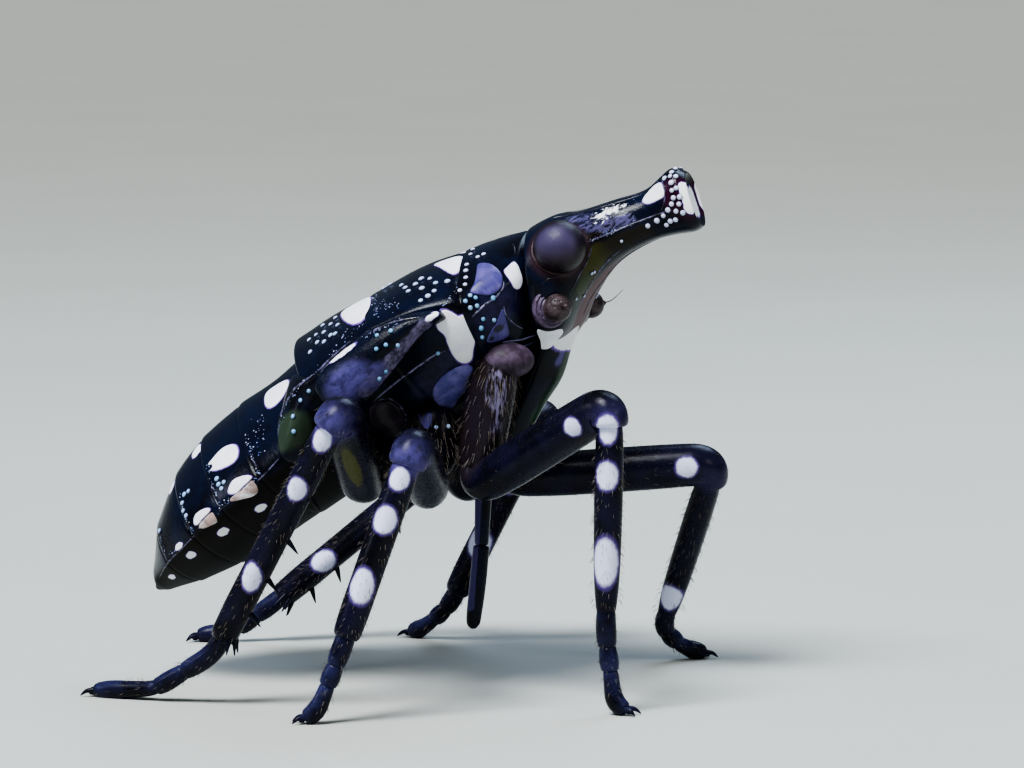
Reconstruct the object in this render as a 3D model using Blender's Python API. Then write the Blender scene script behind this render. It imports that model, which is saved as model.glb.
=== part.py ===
"""Third-stage nymph of the spotted lanternfly, life size, standing with its head raised.

The head, thorax and abdomen are drawn in the body's own axes: u runs forward along the body,
v to the insect's left and w up through its back.  The legs run from the body to the floor.
All driving sizes are in millimetres and become metres when a mesh is made.
"""
import math

import bpy
import bmesh
from mathutils import Matrix, Vector

MM = 0.001
GAP = 0.05                      # clear cut between neighbouring pieces
PITCH = math.radians(38.0)      # head end raised above the floor
ROLL = math.radians(5.5)        # right side carried a little higher than the left
BODY_AT = Vector((-1.249, 0.0, 4.463))

RING_SIDES = 20                 # points round the head and the trunk
LEG_SIDES = 10
SIDES = (("right", -1.0), ("left", 1.0))


def clear_scene():
    for thing in list(bpy.data.objects):
        bpy.data.objects.remove(thing, do_unlink=True)


def body_matrix():
    """Turns the body's own axes into the standing pose."""
    forward = Vector((math.cos(PITCH), 0.0, math.sin(PITCH)))
    back_up = Vector((-math.sin(PITCH), 0.0, math.cos(PITCH)))
    across = Vector((0.0, 1.0, 0.0))
    left = across * math.cos(ROLL) - back_up * math.sin(ROLL)
    up = across * math.sin(ROLL) + back_up * math.cos(ROLL)
    turn = Matrix((forward, left, up)).transposed().to_4x4()
    return Matrix.Translation(BODY_AT) @ turn


BODY = body_matrix()


def on_body(u, v, w):
    return BODY @ Vector((u, v, w))


# Materials

def paint(name, colour, roughness, metallic=0.0):
    material = bpy.data.materials.new(name)
    material.use_nodes = True
    shader = material.node_tree.nodes["Principled BSDF"]
    shader.inputs["Base Color"].default_value = (*colour, 1.0)
    shader.inputs["Roughness"].default_value = roughness
    shader.inputs["Metallic"].default_value = metallic
    return material


BLACK = (0.012, 0.013, 0.022)
BLUE_BLACK = (0.02, 0.022, 0.045)
PLUM = (0.10, 0.075, 0.11)
BRONZE = (0.075, 0.05, 0.06)


# Mesh helpers

def new_object(name, verts, faces, colour, roughness=0.2):
    mesh = bpy.data.meshes.new(name)
    mesh.from_pydata([tuple(v * MM) for v in verts], [], faces)
    shape = bmesh.new()
    shape.from_mesh(mesh)
    bmesh.ops.recalc_face_normals(shape, faces=shape.faces)
    shape.to_mesh(mesh)
    shape.free()
    thing = bpy.data.objects.new(name, mesh)
    bpy.context.scene.collection.objects.link(thing)
    mesh.materials.append(paint(name + "_finish", colour, roughness))
    mesh.shade_smooth()
    mesh.set_sharp_from_angle(angle=math.radians(40.0))
    return thing


def loft(name, rings, colour, roughness=0.2):
    """One closed body through rings of equally many points, with a fan over each end."""
    count = len(rings[0])
    verts = [point for ring in rings for point in ring]
    faces = []
    for row in range(len(rings) - 1):
        for k in range(count):
            a = row * count + k
            b = row * count + (k + 1) % count
            faces.append((a, b, b + count, a + count))
    for row in (0, len(rings) - 1):
        middle = sum(rings[row], Vector()) / count
        verts.append(middle)
        hub = len(verts) - 1
        for k in range(count):
            faces.append((row * count + k, row * count + (k + 1) % count, hub))
    return new_object(name, verts, faces, colour, roughness)


def keep_largest(thing):
    """Leaves only the piece with the most faces."""
    shape = bmesh.new()
    shape.from_mesh(thing.data)
    left = set(shape.faces)
    pieces = []
    while left:
        piece = set()
        front = [left.pop()]
        while front:
            face = front.pop()
            piece.add(face)
            for edge in face.edges:
                for other in edge.link_faces:
                    if other in left:
                        left.remove(other)
                        front.append(other)
        pieces.append(piece)
    pieces.sort(key=len)
    loose = [face for piece in pieces[:-1] for face in piece]
    bmesh.ops.delete(shape, geom=loose, context="FACES")
    shape.to_mesh(thing.data)
    shape.free()


def boolean(thing, others, operation):
    """Joins or cuts with a group of closed meshes, which are then removed."""
    group = bpy.data.collections.new(thing.name + "_group")
    bpy.context.scene.collection.children.link(group)
    for other in others:
        bpy.context.scene.collection.objects.unlink(other)
        group.objects.link(other)
    step = thing.modifiers.new("shape", "BOOLEAN")
    step.operation = operation
    step.operand_type = "COLLECTION"
    step.collection = group
    step.solver = "EXACT"
    bpy.context.view_layer.update()
    graph = bpy.context.evaluated_depsgraph_get()
    mesh = bpy.data.meshes.new_from_object(thing.evaluated_get(graph))
    thing.modifiers.clear()
    finish = thing.data.materials[0]
    thing.data = mesh
    mesh.materials.clear()
    mesh.materials.append(finish)
    for other in others:
        bpy.data.objects.remove(other, do_unlink=True)
    bpy.data.collections.remove(group)
    keep_largest(thing)


def between(table, place):
    """Values at a place along a table whose rows start with that place, smoothly joined."""
    if place <= table[0][0]:
        return table[0][1:]
    for low, high in zip(table, table[1:]):
        if place <= high[0]:
            share = (place - low[0]) / (high[0] - low[0])
            return tuple(a + (b - a) * share for a, b in zip(low[1:], high[1:]))
    return table[-1][1:]


# Cross-sections of the trunk

ROOF = 1.3       # 1 gives a round back, 2 a straight roof
KEEL = 1.2       # the same for the underside


def section_point(section, angle, grow=0.0):
    """Point (v, w) on the right half of a section: 0 is the back, 90 the side, 180 the belly."""
    top, edge_v, edge_w, bottom = section
    turn = math.radians(angle)
    across, along = abs(math.sin(turn)), abs(math.cos(turn))
    if angle <= 90.0:
        v = edge_v * across ** ROOF
        w = edge_w + (top - edge_w) * along ** ROOF
    else:
        v = edge_v * across ** KEEL
        w = edge_w + (bottom - edge_w) * along ** KEEL
    middle = (top + bottom) / 2.0
    size = max(edge_v, (top - bottom) / 2.0)
    scale = 1.0 + grow / size
    return v * scale, middle + (w - middle) * scale


def trunk_ring(u, tilt, section, grow=0.0):
    """A full ring at one station, leaning forward by its tilt."""
    ring = []
    for k in range(RING_SIDES):
        angle = 360.0 * k / RING_SIDES
        if angle <= 180.0:
            v, w = section_point(section, angle, grow)
            v = -v
        else:
            v, w = section_point(section, 360.0 - angle, grow)
        ring.append(on_body(u + tilt * w, v, w))
    return ring


# Trunk stations: u, tilt, height of back, half width, height of side edge, height of belly
PROTHORAX = (
    (1.95, 0.56, 0.39, 0.92, -0.17, -0.97),
    (1.60, 0.48, 0.51, 1.16, -0.14, -1.05),
    (1.11, 0.35, 0.67, 1.42, -0.06, -1.14),
)
MESOTHORAX = (
    (1.11, 0.35, 0.67, 1.42, -0.02, -1.14),
    (0.55, 0.15, 0.87, 1.54, 0.24, -1.20),
    (-0.06, 0.0, 0.97, 1.58, 0.40, -1.22),
)
METATHORAX = (
    (-0.06, 0.0, 0.97, 1.58, 0.40, -1.22),
    (-0.62, 0.0, 1.08, 1.54, 0.38, -1.20),
    (-1.26, 0.0, 1.12, 1.40, 0.32, -1.09),
)
ABDOMEN_CUTS = (-1.26, -2.44, -3.13, -3.72, -4.34, -4.89)
ABDOMEN_SHAPE = (
    (-4.89, -0.34, 0.10, -0.38, -0.42),
    (-4.78, -0.14, 0.34, -0.34, -0.50),
    (-4.34, 0.31, 0.82, -0.29, -0.66),
    (-3.72, 0.69, 1.22, -0.26, -0.81),
    (-3.13, 0.86, 1.44, -0.25, -0.87),
    (-2.44, 0.91, 1.50, -0.23, -0.92),
    (-1.85, 0.88, 1.40, -0.15, -0.97),
    (-1.26, 0.92, 1.26, 0.02, -1.03),
)
ABDOMEN_RINGS = 4
TERGITE_STEP = 0.035            # each segment's hind rim stands this proud of the next one


def trunk_piece(name, stations, colour):
    """One ring segment of the thorax, shortened by half a gap at both ends."""
    rings = []
    last = len(stations) - 1
    for k, (u, tilt, *section) in enumerate(stations):
        shift = -GAP / 2.0 if k == 0 else GAP / 2.0 if k == last else 0.0
        rings.append(trunk_ring(u + shift, tilt, section))
    return loft(name, rings, colour)


def abdomen_piece(number):
    start, end = ABDOMEN_CUTS[number], ABDOMEN_CUTS[number + 1]
    rings = []
    last = len(ABDOMEN_CUTS) - 2
    for k in range(ABDOMEN_RINGS + 1):
        share = k / ABDOMEN_RINGS
        u = start + (end - start) * share
        shift = -GAP / 2.0 if k == 0 else GAP / 2.0 if k == ABDOMEN_RINGS else 0.0
        rim = TERGITE_STEP * (share - 0.5)
        if number == last:
            rim = -TERGITE_STEP / 2.0
            shift = shift if k == 0 else 0.0
        rings.append(trunk_ring(u + shift, 0.0, between(ABDOMEN_SHAPE, u), rim))
    return loft("abdomen_%d" % (number + 1), rings, BLUE_BLACK)


def trunk_cutter(stations, name):
    """The trunk made one gap larger, to part other pieces from it."""
    rings = [trunk_ring(u, tilt, section, GAP) for u, tilt, *section in stations]
    return loft(name, rings, BLACK)


def thorax_cutter():
    stations = PROTHORAX + MESOTHORAX[1:] + METATHORAX[1:]
    return trunk_cutter(stations, "thorax_cutter")


# Head: each ring runs from a point on its back edge line to one on its face line
HEAD = (
    # top u, top w, face u, face w, half width
    (2.24, 0.38, 1.46, -1.05, 0.92),
    (2.46, 0.35, 1.67, -1.10, 0.98),
    (2.68, 0.29, 1.95, -1.04, 0.95),
    (2.87, 0.17, 2.25, -0.87, 0.82),
    (3.10, 0.08, 2.58, -0.76, 0.62),
    (3.39, -0.02, 2.99, -0.69, 0.44),
    (3.73, -0.15, 3.45, -0.76, 0.36),
    (3.97, -0.14, 3.74, -0.88, 0.36),
    (4.23, -0.13, 3.96, -1.00, 0.40),
    (4.34, -0.28, 4.08, -1.01, 0.36),
)
HEAD_SQUARE = 2.6               # 2 gives a round head section, more a squarer one
EYE_AT = (2.53, 0.92, -0.14)
EYE_RADIUS = 0.375
ANTENNA_AT = (1.86, 0.76, -0.69)
ANTENNA_LEAN = Vector((0.60, 0.72, -0.34)).normalized()
SCAPE_RADIUS = 0.25
SCAPE_LENGTH = 0.24
SCAPE_TAPER = (1.0, 1.0, 0.96, 0.72)
PEDICEL_RADIUS = 0.20
PEDICEL_OUT = 0.10              # centre of the knob beyond the rim of the ring
FACE_FLAT = (Vector((0.8, -1.5, -2.0)), Vector((2.4, 1.5, -1.00)))


def block(name, low, high, place):
    """A straight-sided cutter between two corners."""
    corners = [place(Vector((x, y, z))) for z in (high.z, low.z)
               for x, y in ((low.x, low.y), (high.x, low.y), (high.x, high.y), (low.x, high.y))]
    faces = [(0, 1, 2, 3), (7, 6, 5, 4), (0, 4, 5, 1), (1, 5, 6, 2), (2, 6, 7, 3), (3, 7, 4, 0)]
    return new_object(name, corners, faces, BLACK)


def head_ring(top_u, top_w, face_u, face_w, half_width):
    top = Vector((top_u, 0.0, top_w))
    face = Vector((face_u, 0.0, face_w))
    middle = (top + face) / 2.0
    ring = []
    for k in range(RING_SIDES):
        turn = 2.0 * math.pi * k / RING_SIDES
        c, s = math.cos(turn), math.sin(turn)
        up = math.copysign(abs(c) ** (2.0 / HEAD_SQUARE), c)
        out = math.copysign(abs(s) ** (2.0 / HEAD_SQUARE), s)
        spot = middle + (top - middle) * up + Vector((0.0, -half_width * out, 0.0))
        ring.append(BODY @ spot)
    return ring


def ball(name, centre, radius, colour, roughness=0.2, rings=10, sides=16, axis=None):
    """A ball of quads with its poles on an axis of the body."""
    axis = (axis or Vector((0.0, 1.0, 0.0))).normalized()
    first = axis.orthogonal().normalized()
    second = axis.cross(first)
    rows = []
    for r in range(1, rings):
        lift = math.pi * r / rings
        row = []
        for k in range(sides):
            turn = 2.0 * math.pi * k / sides
            flat = first * math.cos(turn) + second * math.sin(turn)
            row.append(BODY @ (centre + (axis * math.cos(lift) + flat * math.sin(lift)) * radius))
        rows.append(row)
    return loft(name, rows, colour, roughness)


def disc(name, start, end, radii, colour, roughness=0.3, sides=16):
    """A turned piece between two points of the body, with a radius at even steps."""
    axis = (end - start).normalized()
    first = axis.orthogonal().normalized()
    second = axis.cross(first)
    rows = []
    for r, radius in enumerate(radii):
        centre = start + (end - start) * (r / (len(radii) - 1))
        row = []
        for k in range(sides):
            turn = 2.0 * math.pi * k / sides
            row.append(BODY @ (centre + (first * math.cos(turn) + second * math.sin(turn)) * radius))
        rows.append(row)
    return loft(name, rows, colour, roughness)


def mirrored(place, side):
    return Vector((place[0], place[1] * side, place[2]))


def antenna_axis(side):
    return Vector((ANTENNA_LEAN.x, ANTENNA_LEAN.y * side, ANTENNA_LEAN.z))


def make_head():
    head = loft("head", [head_ring(*row) for row in HEAD], BLACK)
    cutters = [thorax_cutter()]
    for word, side in SIDES:
        cutters.append(ball("socket_" + word, mirrored(EYE_AT, side), EYE_RADIUS + GAP, BLACK))
        base = mirrored(ANTENNA_AT, side)
        reach = base + antenna_axis(side)
        cutters.append(disc("pit_" + word, base, reach, (SCAPE_RADIUS + GAP,) * 2, BLACK))
    cutters.append(block("face_cut", *FACE_FLAT, lambda place: BODY @ place))
    boolean(head, cutters, "DIFFERENCE")


def make_eyes_and_antennae():
    for word, side in SIDES:
        ball("eye_" + word, mirrored(EYE_AT, side), EYE_RADIUS, PLUM, 0.3)
        axis = antenna_axis(side)
        base = mirrored(ANTENNA_AT, side) + axis * GAP
        scape_end = base + axis * SCAPE_LENGTH
        radii = [SCAPE_RADIUS * share for share in SCAPE_TAPER]
        antenna = disc("antenna_" + word, base, scape_end, radii, BRONZE)
        knob_at = scape_end + axis * PEDICEL_OUT
        knob = ball("knob", knob_at, PEDICEL_RADIUS, BRONZE, 0.4, 8, 12, axis)
        boolean(antenna, [knob], "UNION")


# Face shield and beak: front point, back point, half width
CLYPEUS = (
    (1.99, -1.05, 1.38, -1.05, 0.52),
    (1.73, -1.19, 1.18, -1.12, 0.50),
    (1.36, -1.46, 0.88, -1.26, 0.42),
    (0.96, -1.60, 0.63, -1.40, 0.34),
    (0.52, -1.79, 0.31, -1.55, 0.26),
    (0.06, -1.96, -0.07, -1.72, 0.19),
    (-0.34, -2.10, -0.46, -1.90, 0.15),
)
# Share of the way from front to back, and share of the half width, round one half of a ring
KEELED = ((0.0, 0.0), (0.10, 0.34), (0.35, 0.72), (0.70, 1.0), (1.0, 0.80))
BEAK = ((-0.44, -2.04), (-0.90, -2.59), (-1.27, -2.99), (-1.58, -3.31), (-1.66, -3.42))
BEAK_RADII = (0.17, 0.16, 0.15, 0.13, 0.05)
BEAK_JOINT = 1


def keeled_ring(front_u, front_w, back_u, back_w, half_width):
    front = Vector((front_u, 0.0, front_w))
    back = Vector((back_u, 0.0, back_w))
    halves = [(share, -width) for share, width in KEELED]
    halves += [(share, width) for share, width in reversed(KEELED[1:])]
    return [BODY @ (front.lerp(back, share) + Vector((0.0, half_width * width, 0.0)))
            for share, width in halves]


def make_clypeus():
    shield = loft("clypeus", [keeled_ring(*row) for row in CLYPEUS], BLACK)
    boolean(shield, [thorax_cutter()], "DIFFERENCE")


# Paths and tubes, for the legs and the beak

def rounded_path(corners, roundings):
    """Points along a bent line whose inner corners are rounded over the given lengths."""
    points = [corners[0].copy()]
    marks = []
    for k in range(1, len(corners) - 1):
        before = (corners[k - 1] - corners[k]).normalized()
        after = (corners[k + 1] - corners[k]).normalized()
        start = corners[k] + before * roundings[k - 1]
        end = corners[k] + after * roundings[k - 1]
        add_straight(points, start)
        marks.append(len(points) - 1)
        for j in range(1, BEND_STEPS + 1):
            t = j / BEND_STEPS
            points.append(start * (1 - t) ** 2 + corners[k] * 2 * t * (1 - t) + end * t ** 2)
        marks.append(len(points) - 1)
    add_straight(points, corners[-1])
    return points, marks


def add_straight(points, end):
    start = points[-1].copy()
    pieces = max(1, round((end - start).length / LEG_STEP))
    for j in range(1, pieces + 1):
        points.append(start.lerp(end, j / pieces))


def bend_centres(points):
    """For each point the direction to the centre of its bend and the room on that side."""
    bends = [(Vector(), math.inf)]
    for before, here, after in zip(points, points[1:], points[2:]):
        first, second = here - before, after - here
        angle = first.angle(second)
        step = (first.length + second.length) / 2.0
        room = step / angle if angle > BEND_SMALL else math.inf
        bends.append(((second.normalized() - first.normalized()).normalized(), room))
    bends.append((Vector(), math.inf))
    rooms = [room for _, room in bends]
    return [(way, BEND_ROOM * min(rooms[max(k - 1, 0):k + 2])) for k, (way, _) in enumerate(bends)]


def tube_rings(points, radii, trim=(0.0, 0.0)):
    """Rings square to a path, carried along it without twist and creased inside its bends."""
    count = len(points)
    points = [p.copy() for p in points]
    points[0] += (points[1] - points[0]).normalized() * trim[0]
    points[-1] += (points[-2] - points[-1]).normalized() * trim[1]
    bends = bend_centres(points)
    rings = []
    normal = None
    for k in range(count):
        ahead = points[min(k + 1, count - 1)] - points[max(k - 1, 0)]
        ahead.normalize()
        if normal is None:
            normal = Vector((0.0, 0.0, 1.0))
            if abs(ahead.z) > 0.9:
                normal = Vector((1.0, 0.0, 0.0))
        normal = (normal - ahead * normal.dot(ahead)).normalized()
        side = ahead.cross(normal)
        ring = []
        for j in range(LEG_SIDES):
            turn = 2.0 * math.pi * j / LEG_SIDES
            offset = (normal * math.cos(turn) + side * math.sin(turn)) * radii[k]
            inward, room = bends[k]
            over = offset.dot(inward) - room
            if over > 0.0:
                offset -= inward * over
            ring.append(points[k] + offset)
        rings.append(ring)
    return rings


def make_beak():
    points = [on_body(u, 0.0, w) for u, w in BEAK]
    end = BEAK_JOINT + 1
    loft("beak_upper", tube_rings(points[:end], BEAK_RADII[:end], trim=(GAP, GAP / 2.0)), BLACK)
    lower = tube_rings(points[BEAK_JOINT:], BEAK_RADII[BEAK_JOINT:], trim=(GAP / 2.0, 0.0))
    loft("beak_lower", lower, BLACK)


# Wing pads

FORE_PAD = (
    # u, upper w, lower w, inner v, outer v
    (0.87, 0.07, -0.08, 1.30, 1.66),
    (0.48, 0.28, -0.06, 1.30, 1.86),
    (-0.02, 0.41, -0.21, 1.35, 1.97),
    (-0.47, 0.40, -0.33, 1.45, 2.03),
    (-0.81, 0.34, -0.27, 1.74, 2.05),
    (-1.03, 0.21, -0.09, 1.82, 1.98),
)
FORE_PAD_SIDES = 12
HIND_PAD = (
    # u, highest angle, lowest angle, thickness
    (-0.74, 88.0, 108.0, 0.06),
    (-1.02, 84.0, 112.0, 0.17),
    (-1.18, 76.0, 114.0, 0.20),
    (-1.36, 47.0, 114.0, 0.22),
    (-1.54, 54.0, 114.0, 0.23),
    (-1.75, 62.0, 113.0, 0.21),
    (-1.92, 72.0, 111.0, 0.16),
    (-2.03, 88.0, 104.0, 0.08),
)
HIND_PAD_BED = (
    # u, back, half width, side edge height, belly
    (-2.10, 0.91, 1.46, -0.15, -0.96),
    (-1.85, 0.90, 1.42, -0.12, -0.98),
    (-1.54, 0.94, 1.38, 0.02, -1.02),
    (-1.36, 0.99, 1.36, 0.14, -1.06),
    (-1.18, 1.08, 1.42, 0.32, -1.10),
    (-0.70, 1.10, 1.54, 0.38, -1.20),
)
HIND_PAD_COLUMNS = 7
HIND_PAD_EDGE = 0.12            # share of a half turn at which the pad's rim starts


def fore_pad(word, side):
    rings = []
    for u, upper, lower, inner, outer in FORE_PAD:
        middle, half = (inner + outer) / 2.0, (outer - inner) / 2.0
        ring = []
        for k in range(FORE_PAD_SIDES):
            turn = 2.0 * math.pi * k / FORE_PAD_SIDES
            w = (upper + lower) / 2.0 + (upper - lower) / 2.0 * math.cos(turn)
            ring.append(on_body(u, side * (middle + half * math.sin(turn)), w))
        rings.append(ring)
    pad = loft("fore_wing_pad_" + word, rings, BLUE_BLACK)
    boolean(pad, [thorax_cutter()], "DIFFERENCE")


def hind_pad(word, side):
    rings = []
    for u, high, low, thick in HIND_PAD:
        bed = between(HIND_PAD_BED, u)
        outer, inner = [], []
        for k in range(HIND_PAD_COLUMNS):
            share = k / (HIND_PAD_COLUMNS - 1)
            angle = high + (low - high) * share
            rise = HIND_PAD_EDGE + (1.0 - 2.0 * HIND_PAD_EDGE) * share
            swell = thick * math.sin(math.pi * rise)
            v, w = section_point(bed, angle, GAP + swell)
            outer.append(on_body(u, side * v, w))
            v, w = section_point(bed, angle, GAP)
            inner.append(on_body(u, side * v, w))
        rings.append(outer + inner[::-1])
    pad = loft("hind_wing_pad_" + word, rings, BLUE_BLACK)
    boolean(pad, [thorax_cutter()], "DIFFERENCE")


# Legs: places of the joints.  The coxa starts in the body; the rest are world places in mm
LEGS = {
    "fore_right": dict(base=(1.06, -0.78, -0.72), hip=(-0.36, -0.95, 2.72), knee=(1.68, -2.20, 4.06),
                       ankle=(1.64, -2.30, 1.08), sole=(1.76, -2.32, 0.13), toe=(1.93, -2.36, 0.07)),
    "fore_left": dict(base=(1.06, 0.78, -0.72), hip=(-0.26, 0.45, 2.70), knee=(2.63, 0.80, 2.92),
                      ankle=(1.74, 1.94, 0.46), sole=(2.02, 2.22, 0.17), toe=(2.27, 2.40, 0.07)),
    "middle_right": dict(base=(-0.12, -0.72, -0.82), hip=(-0.93, -1.05, 2.65), knee=(-0.73, -3.15, 3.59),
                         ankle=(-1.62, -3.60, 0.89), sole=(-1.90, -3.68, 0.15), toe=(-2.06, -3.71, 0.07)),
    "middle_left": dict(base=(-0.12, 0.72, -0.82), hip=(-0.87, 0.80, 2.47), knee=(-0.04, 3.00, 3.30),
                        ankle=(-1.48, 3.30, 0.48), sole=(-1.88, 3.43, 0.15), toe=(-2.07, 3.50, 0.07)),
    "hind_right": dict(base=(-1.00, -0.80, -0.90), hip=(-1.83, -0.95, 2.65), knee=(-1.73, -3.00, 4.00),
                       ankle=(-3.52, -2.50, 0.68), sole=(-4.37, -2.30, 0.16), toe=(-5.24, -2.11, 0.08)),
    "hind_left": dict(base=(-1.00, 0.80, -0.90), hip=(-1.70, 0.85, 2.53), knee=(-1.46, 3.20, 2.59),
                      ankle=(-3.97, 2.75, 0.48), sole=(-4.40, 2.68, 0.17), toe=(-4.94, 2.60, 0.08)),
}
HIP_ROUND, KNEE_ROUND, ANKLE_ROUND, SOLE_ROUND = 0.38, 0.32, 0.22, 0.14
BEND_STEPS = 6
BEND_SMALL = 0.01               # radians below which a path counts as straight
BEND_ROOM = 0.75                # share of a bend's radius that its inner side may fill
LEG_STEP = 0.12
COXA_RADII = (0.24, 0.34, 0.35, 0.34, 0.24)
FEMUR_RADII = (0.22, 0.30, 0.31, 0.27)
TIBIA_RADII = (0.23, 0.22, 0.22, 0.23)
TARSUS_RADII = (0.20, 0.17, 0.19, 0.16, 0.18, 0.11)
FLOOR = (Vector((-9.0, -9.0, -2.0)), Vector((9.0, 9.0, 0.0)))

# Spines of the hind shin and claws: all taper to a tip and start well inside the leg
SPINE_SIDES = 5
SPINE_PLACES = (0.30, 0.50, 0.68, 0.84)
SPINE_RADIUS = 0.065
SPINE_LENGTH = 0.20             # beyond the skin of the shin
SPINE_SLANT = 0.55              # how far a spine leans towards the foot
CROWN_COUNT = 5
CROWN_SPREAD = 150.0            # degrees of the shin's lower end that carry the end spines
CLAW_RADIUS = 0.055
CLAW_REACH = 0.17
CLAW_SPREAD = 0.11
CLAW_ROOT = 0.10                # how far back from the toe's end a claw starts


def spread(radii, count):
    """Radii at even places along a piece, read from a few."""
    result = []
    for k in range(count):
        place = k / (count - 1) * (len(radii) - 1)
        low = min(int(place), len(radii) - 2)
        result.append(radii[low] + (radii[low + 1] - radii[low]) * (place - low))
    return result


def cone(name, root, tip, radius):
    """A tapered spine from a root hidden in its piece to a fine tip."""
    along = (tip - root).normalized()
    first = along.orthogonal().normalized()
    second = along.cross(first)
    rings = []
    for place, width in ((root, radius), (root.lerp(tip, 0.97), radius * 0.12)):
        ring = []
        for k in range(SPINE_SIDES):
            turn = 2.0 * math.pi * k / SPINE_SIDES
            ring.append(place + (first * math.cos(turn) + second * math.sin(turn)) * width)
        rings.append(ring)
    return loft(name, rings, BLACK)


def shin_spines(path):
    """Single spines down the outer edge and a fan of them round the lower end."""
    along = (path[-1] - path[0]).normalized()
    edge = along.cross(Vector((0.0, 1.0, 0.0))).normalized()
    skin = TIBIA_RADII[1]
    spines = []
    for share in SPINE_PLACES:
        root = path[0].lerp(path[-1], share)
        tip = root + edge * (skin + SPINE_LENGTH) + along * SPINE_SLANT * SPINE_LENGTH
        spines.append(cone("spine", root, tip, SPINE_RADIUS))
    across = along.cross(edge)
    for k in range(CROWN_COUNT):
        turn = math.radians(CROWN_SPREAD * (k / (CROWN_COUNT - 1) - 0.5))
        out = edge * math.cos(turn) + across * math.sin(turn)
        root = path[-1] - along * (SPINE_LENGTH * 0.9) + out * skin * 0.3
        tip = path[-1] + along * SPINE_LENGTH * 0.4 + out * (skin + SPINE_LENGTH * 0.5)
        spines.append(cone("spine", root, tip, SPINE_RADIUS))
    return spines


def claws(path):
    """The two claws at the end of a foot."""
    along = path[-1] - path[-3]
    along.z = 0.0
    along.normalize()
    across = along.cross(Vector((0.0, 0.0, 1.0)))
    pair = []
    for _, side in SIDES:
        root = path[-1] - along * CLAW_ROOT
        root.z = CLAW_RADIUS * 1.3
        tip = path[-1] + along * CLAW_REACH + across * side * CLAW_SPREAD
        tip.z = CLAW_RADIUS * 0.4
        pair.append(cone("claw", root, tip, CLAW_RADIUS))
    return pair


def make_leg(word, places):
    corners = [BODY @ Vector(places["base"])]
    corners += [Vector(places[key]) for key in ("hip", "knee", "ankle", "sole", "toe")]
    points, marks = rounded_path(corners, (HIP_ROUND, KNEE_ROUND, ANKLE_ROUND, SOLE_ROUND))
    hip_start, _, _, knee_end, ankle_start = marks[:5]
    stretches = (
        ("coxa", points[:hip_start + 1], COXA_RADII, (0.0, GAP / 2.0)),
        ("femur", points[hip_start:knee_end + 1], FEMUR_RADII, (GAP / 2.0, GAP / 2.0)),
        ("tibia", points[knee_end:ankle_start + 1], TIBIA_RADII, (GAP / 2.0, GAP / 2.0)),
        ("tarsus", points[ankle_start:], TARSUS_RADII, (GAP / 2.0, 0.0)),
    )
    for part, path, radii, trim in stretches:
        rings = tube_rings(path, spread(radii, len(path)), trim=trim)
        piece = loft("%s_%s" % (part, word), rings, BLACK)
        if part == "coxa":
            boolean(piece, [thorax_cutter()], "DIFFERENCE")
        if part == "tibia" and word.startswith("hind"):
            boolean(piece, shin_spines(path), "UNION")
        if part == "tarsus":
            boolean(piece, claws(path), "UNION")
            boolean(piece, [block("floor", *FLOOR, lambda place: place)], "DIFFERENCE")


def settle():
    """Puts the middle of the insect's box over the origin, with its feet on the floor."""
    bpy.context.view_layer.update()
    things = [thing for thing in bpy.data.objects if thing.type == "MESH"]
    xs = [vert.co.x for thing in things for vert in thing.data.vertices]
    ys = [vert.co.y for thing in things for vert in thing.data.vertices]
    shift = Matrix.Translation((-(min(xs) + max(xs)) / 2.0, -(min(ys) + max(ys)) / 2.0, 0.0))
    for thing in things:
        thing.data.transform(shift)


clear_scene()
make_head()
make_eyes_and_antennae()
make_clypeus()
make_beak()
trunk_piece("prothorax", PROTHORAX, BLACK)
trunk_piece("mesothorax", MESOTHORAX, BLACK)
trunk_piece("metathorax", METATHORAX, BLACK)
for number in range(len(ABDOMEN_CUTS) - 1):
    abdomen_piece(number)
for word, side in SIDES:
    fore_pad(word, side)
    hind_pad(word, side)
for word, places in LEGS.items():
    make_leg(word, places)
settle()
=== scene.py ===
"""The finished look of the spotted lanternfly nymph, third stage, standing with its head raised.

The trunk, head and wing pads are shaped in the body's own axes, in millimetres: u runs forward,
v to the insect's left and w up through its back.  The legs are shaped in the frame's axes.
Every piece becomes metres when it is finished.
"""
import math
import random

import bmesh
import bpy
from mathutils import Matrix, Vector
from mathutils.bvhtree import BVHTree


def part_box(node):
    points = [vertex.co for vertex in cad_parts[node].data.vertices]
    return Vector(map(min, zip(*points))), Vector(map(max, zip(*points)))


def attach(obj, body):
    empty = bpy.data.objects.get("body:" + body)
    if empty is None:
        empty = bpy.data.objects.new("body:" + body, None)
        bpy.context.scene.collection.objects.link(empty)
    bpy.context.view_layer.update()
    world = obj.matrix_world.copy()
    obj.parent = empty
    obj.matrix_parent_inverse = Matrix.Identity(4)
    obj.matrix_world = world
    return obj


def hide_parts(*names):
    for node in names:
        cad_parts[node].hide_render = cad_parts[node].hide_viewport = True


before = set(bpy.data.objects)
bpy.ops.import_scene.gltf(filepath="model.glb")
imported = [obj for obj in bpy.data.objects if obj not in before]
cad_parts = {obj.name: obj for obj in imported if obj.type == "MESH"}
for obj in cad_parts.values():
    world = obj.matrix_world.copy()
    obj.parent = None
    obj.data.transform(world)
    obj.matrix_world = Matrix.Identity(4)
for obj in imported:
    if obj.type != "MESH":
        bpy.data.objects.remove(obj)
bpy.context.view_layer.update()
bpy.ops.object.select_all(action="DESELECT")

MM = 0.001
PITCH = math.radians(38.0)
ROLL = math.radians(5.5)
EYE_AT = Vector((2.53, 0.92, -0.14))
HOME = Vector((-1.249, 0.0, 4.463))     # body origin for which the leg joints are measured
SIDES = (("right", -1.0), ("left", 1.0))
PER_ROW = 3                             # rings for each row of a table


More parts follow.
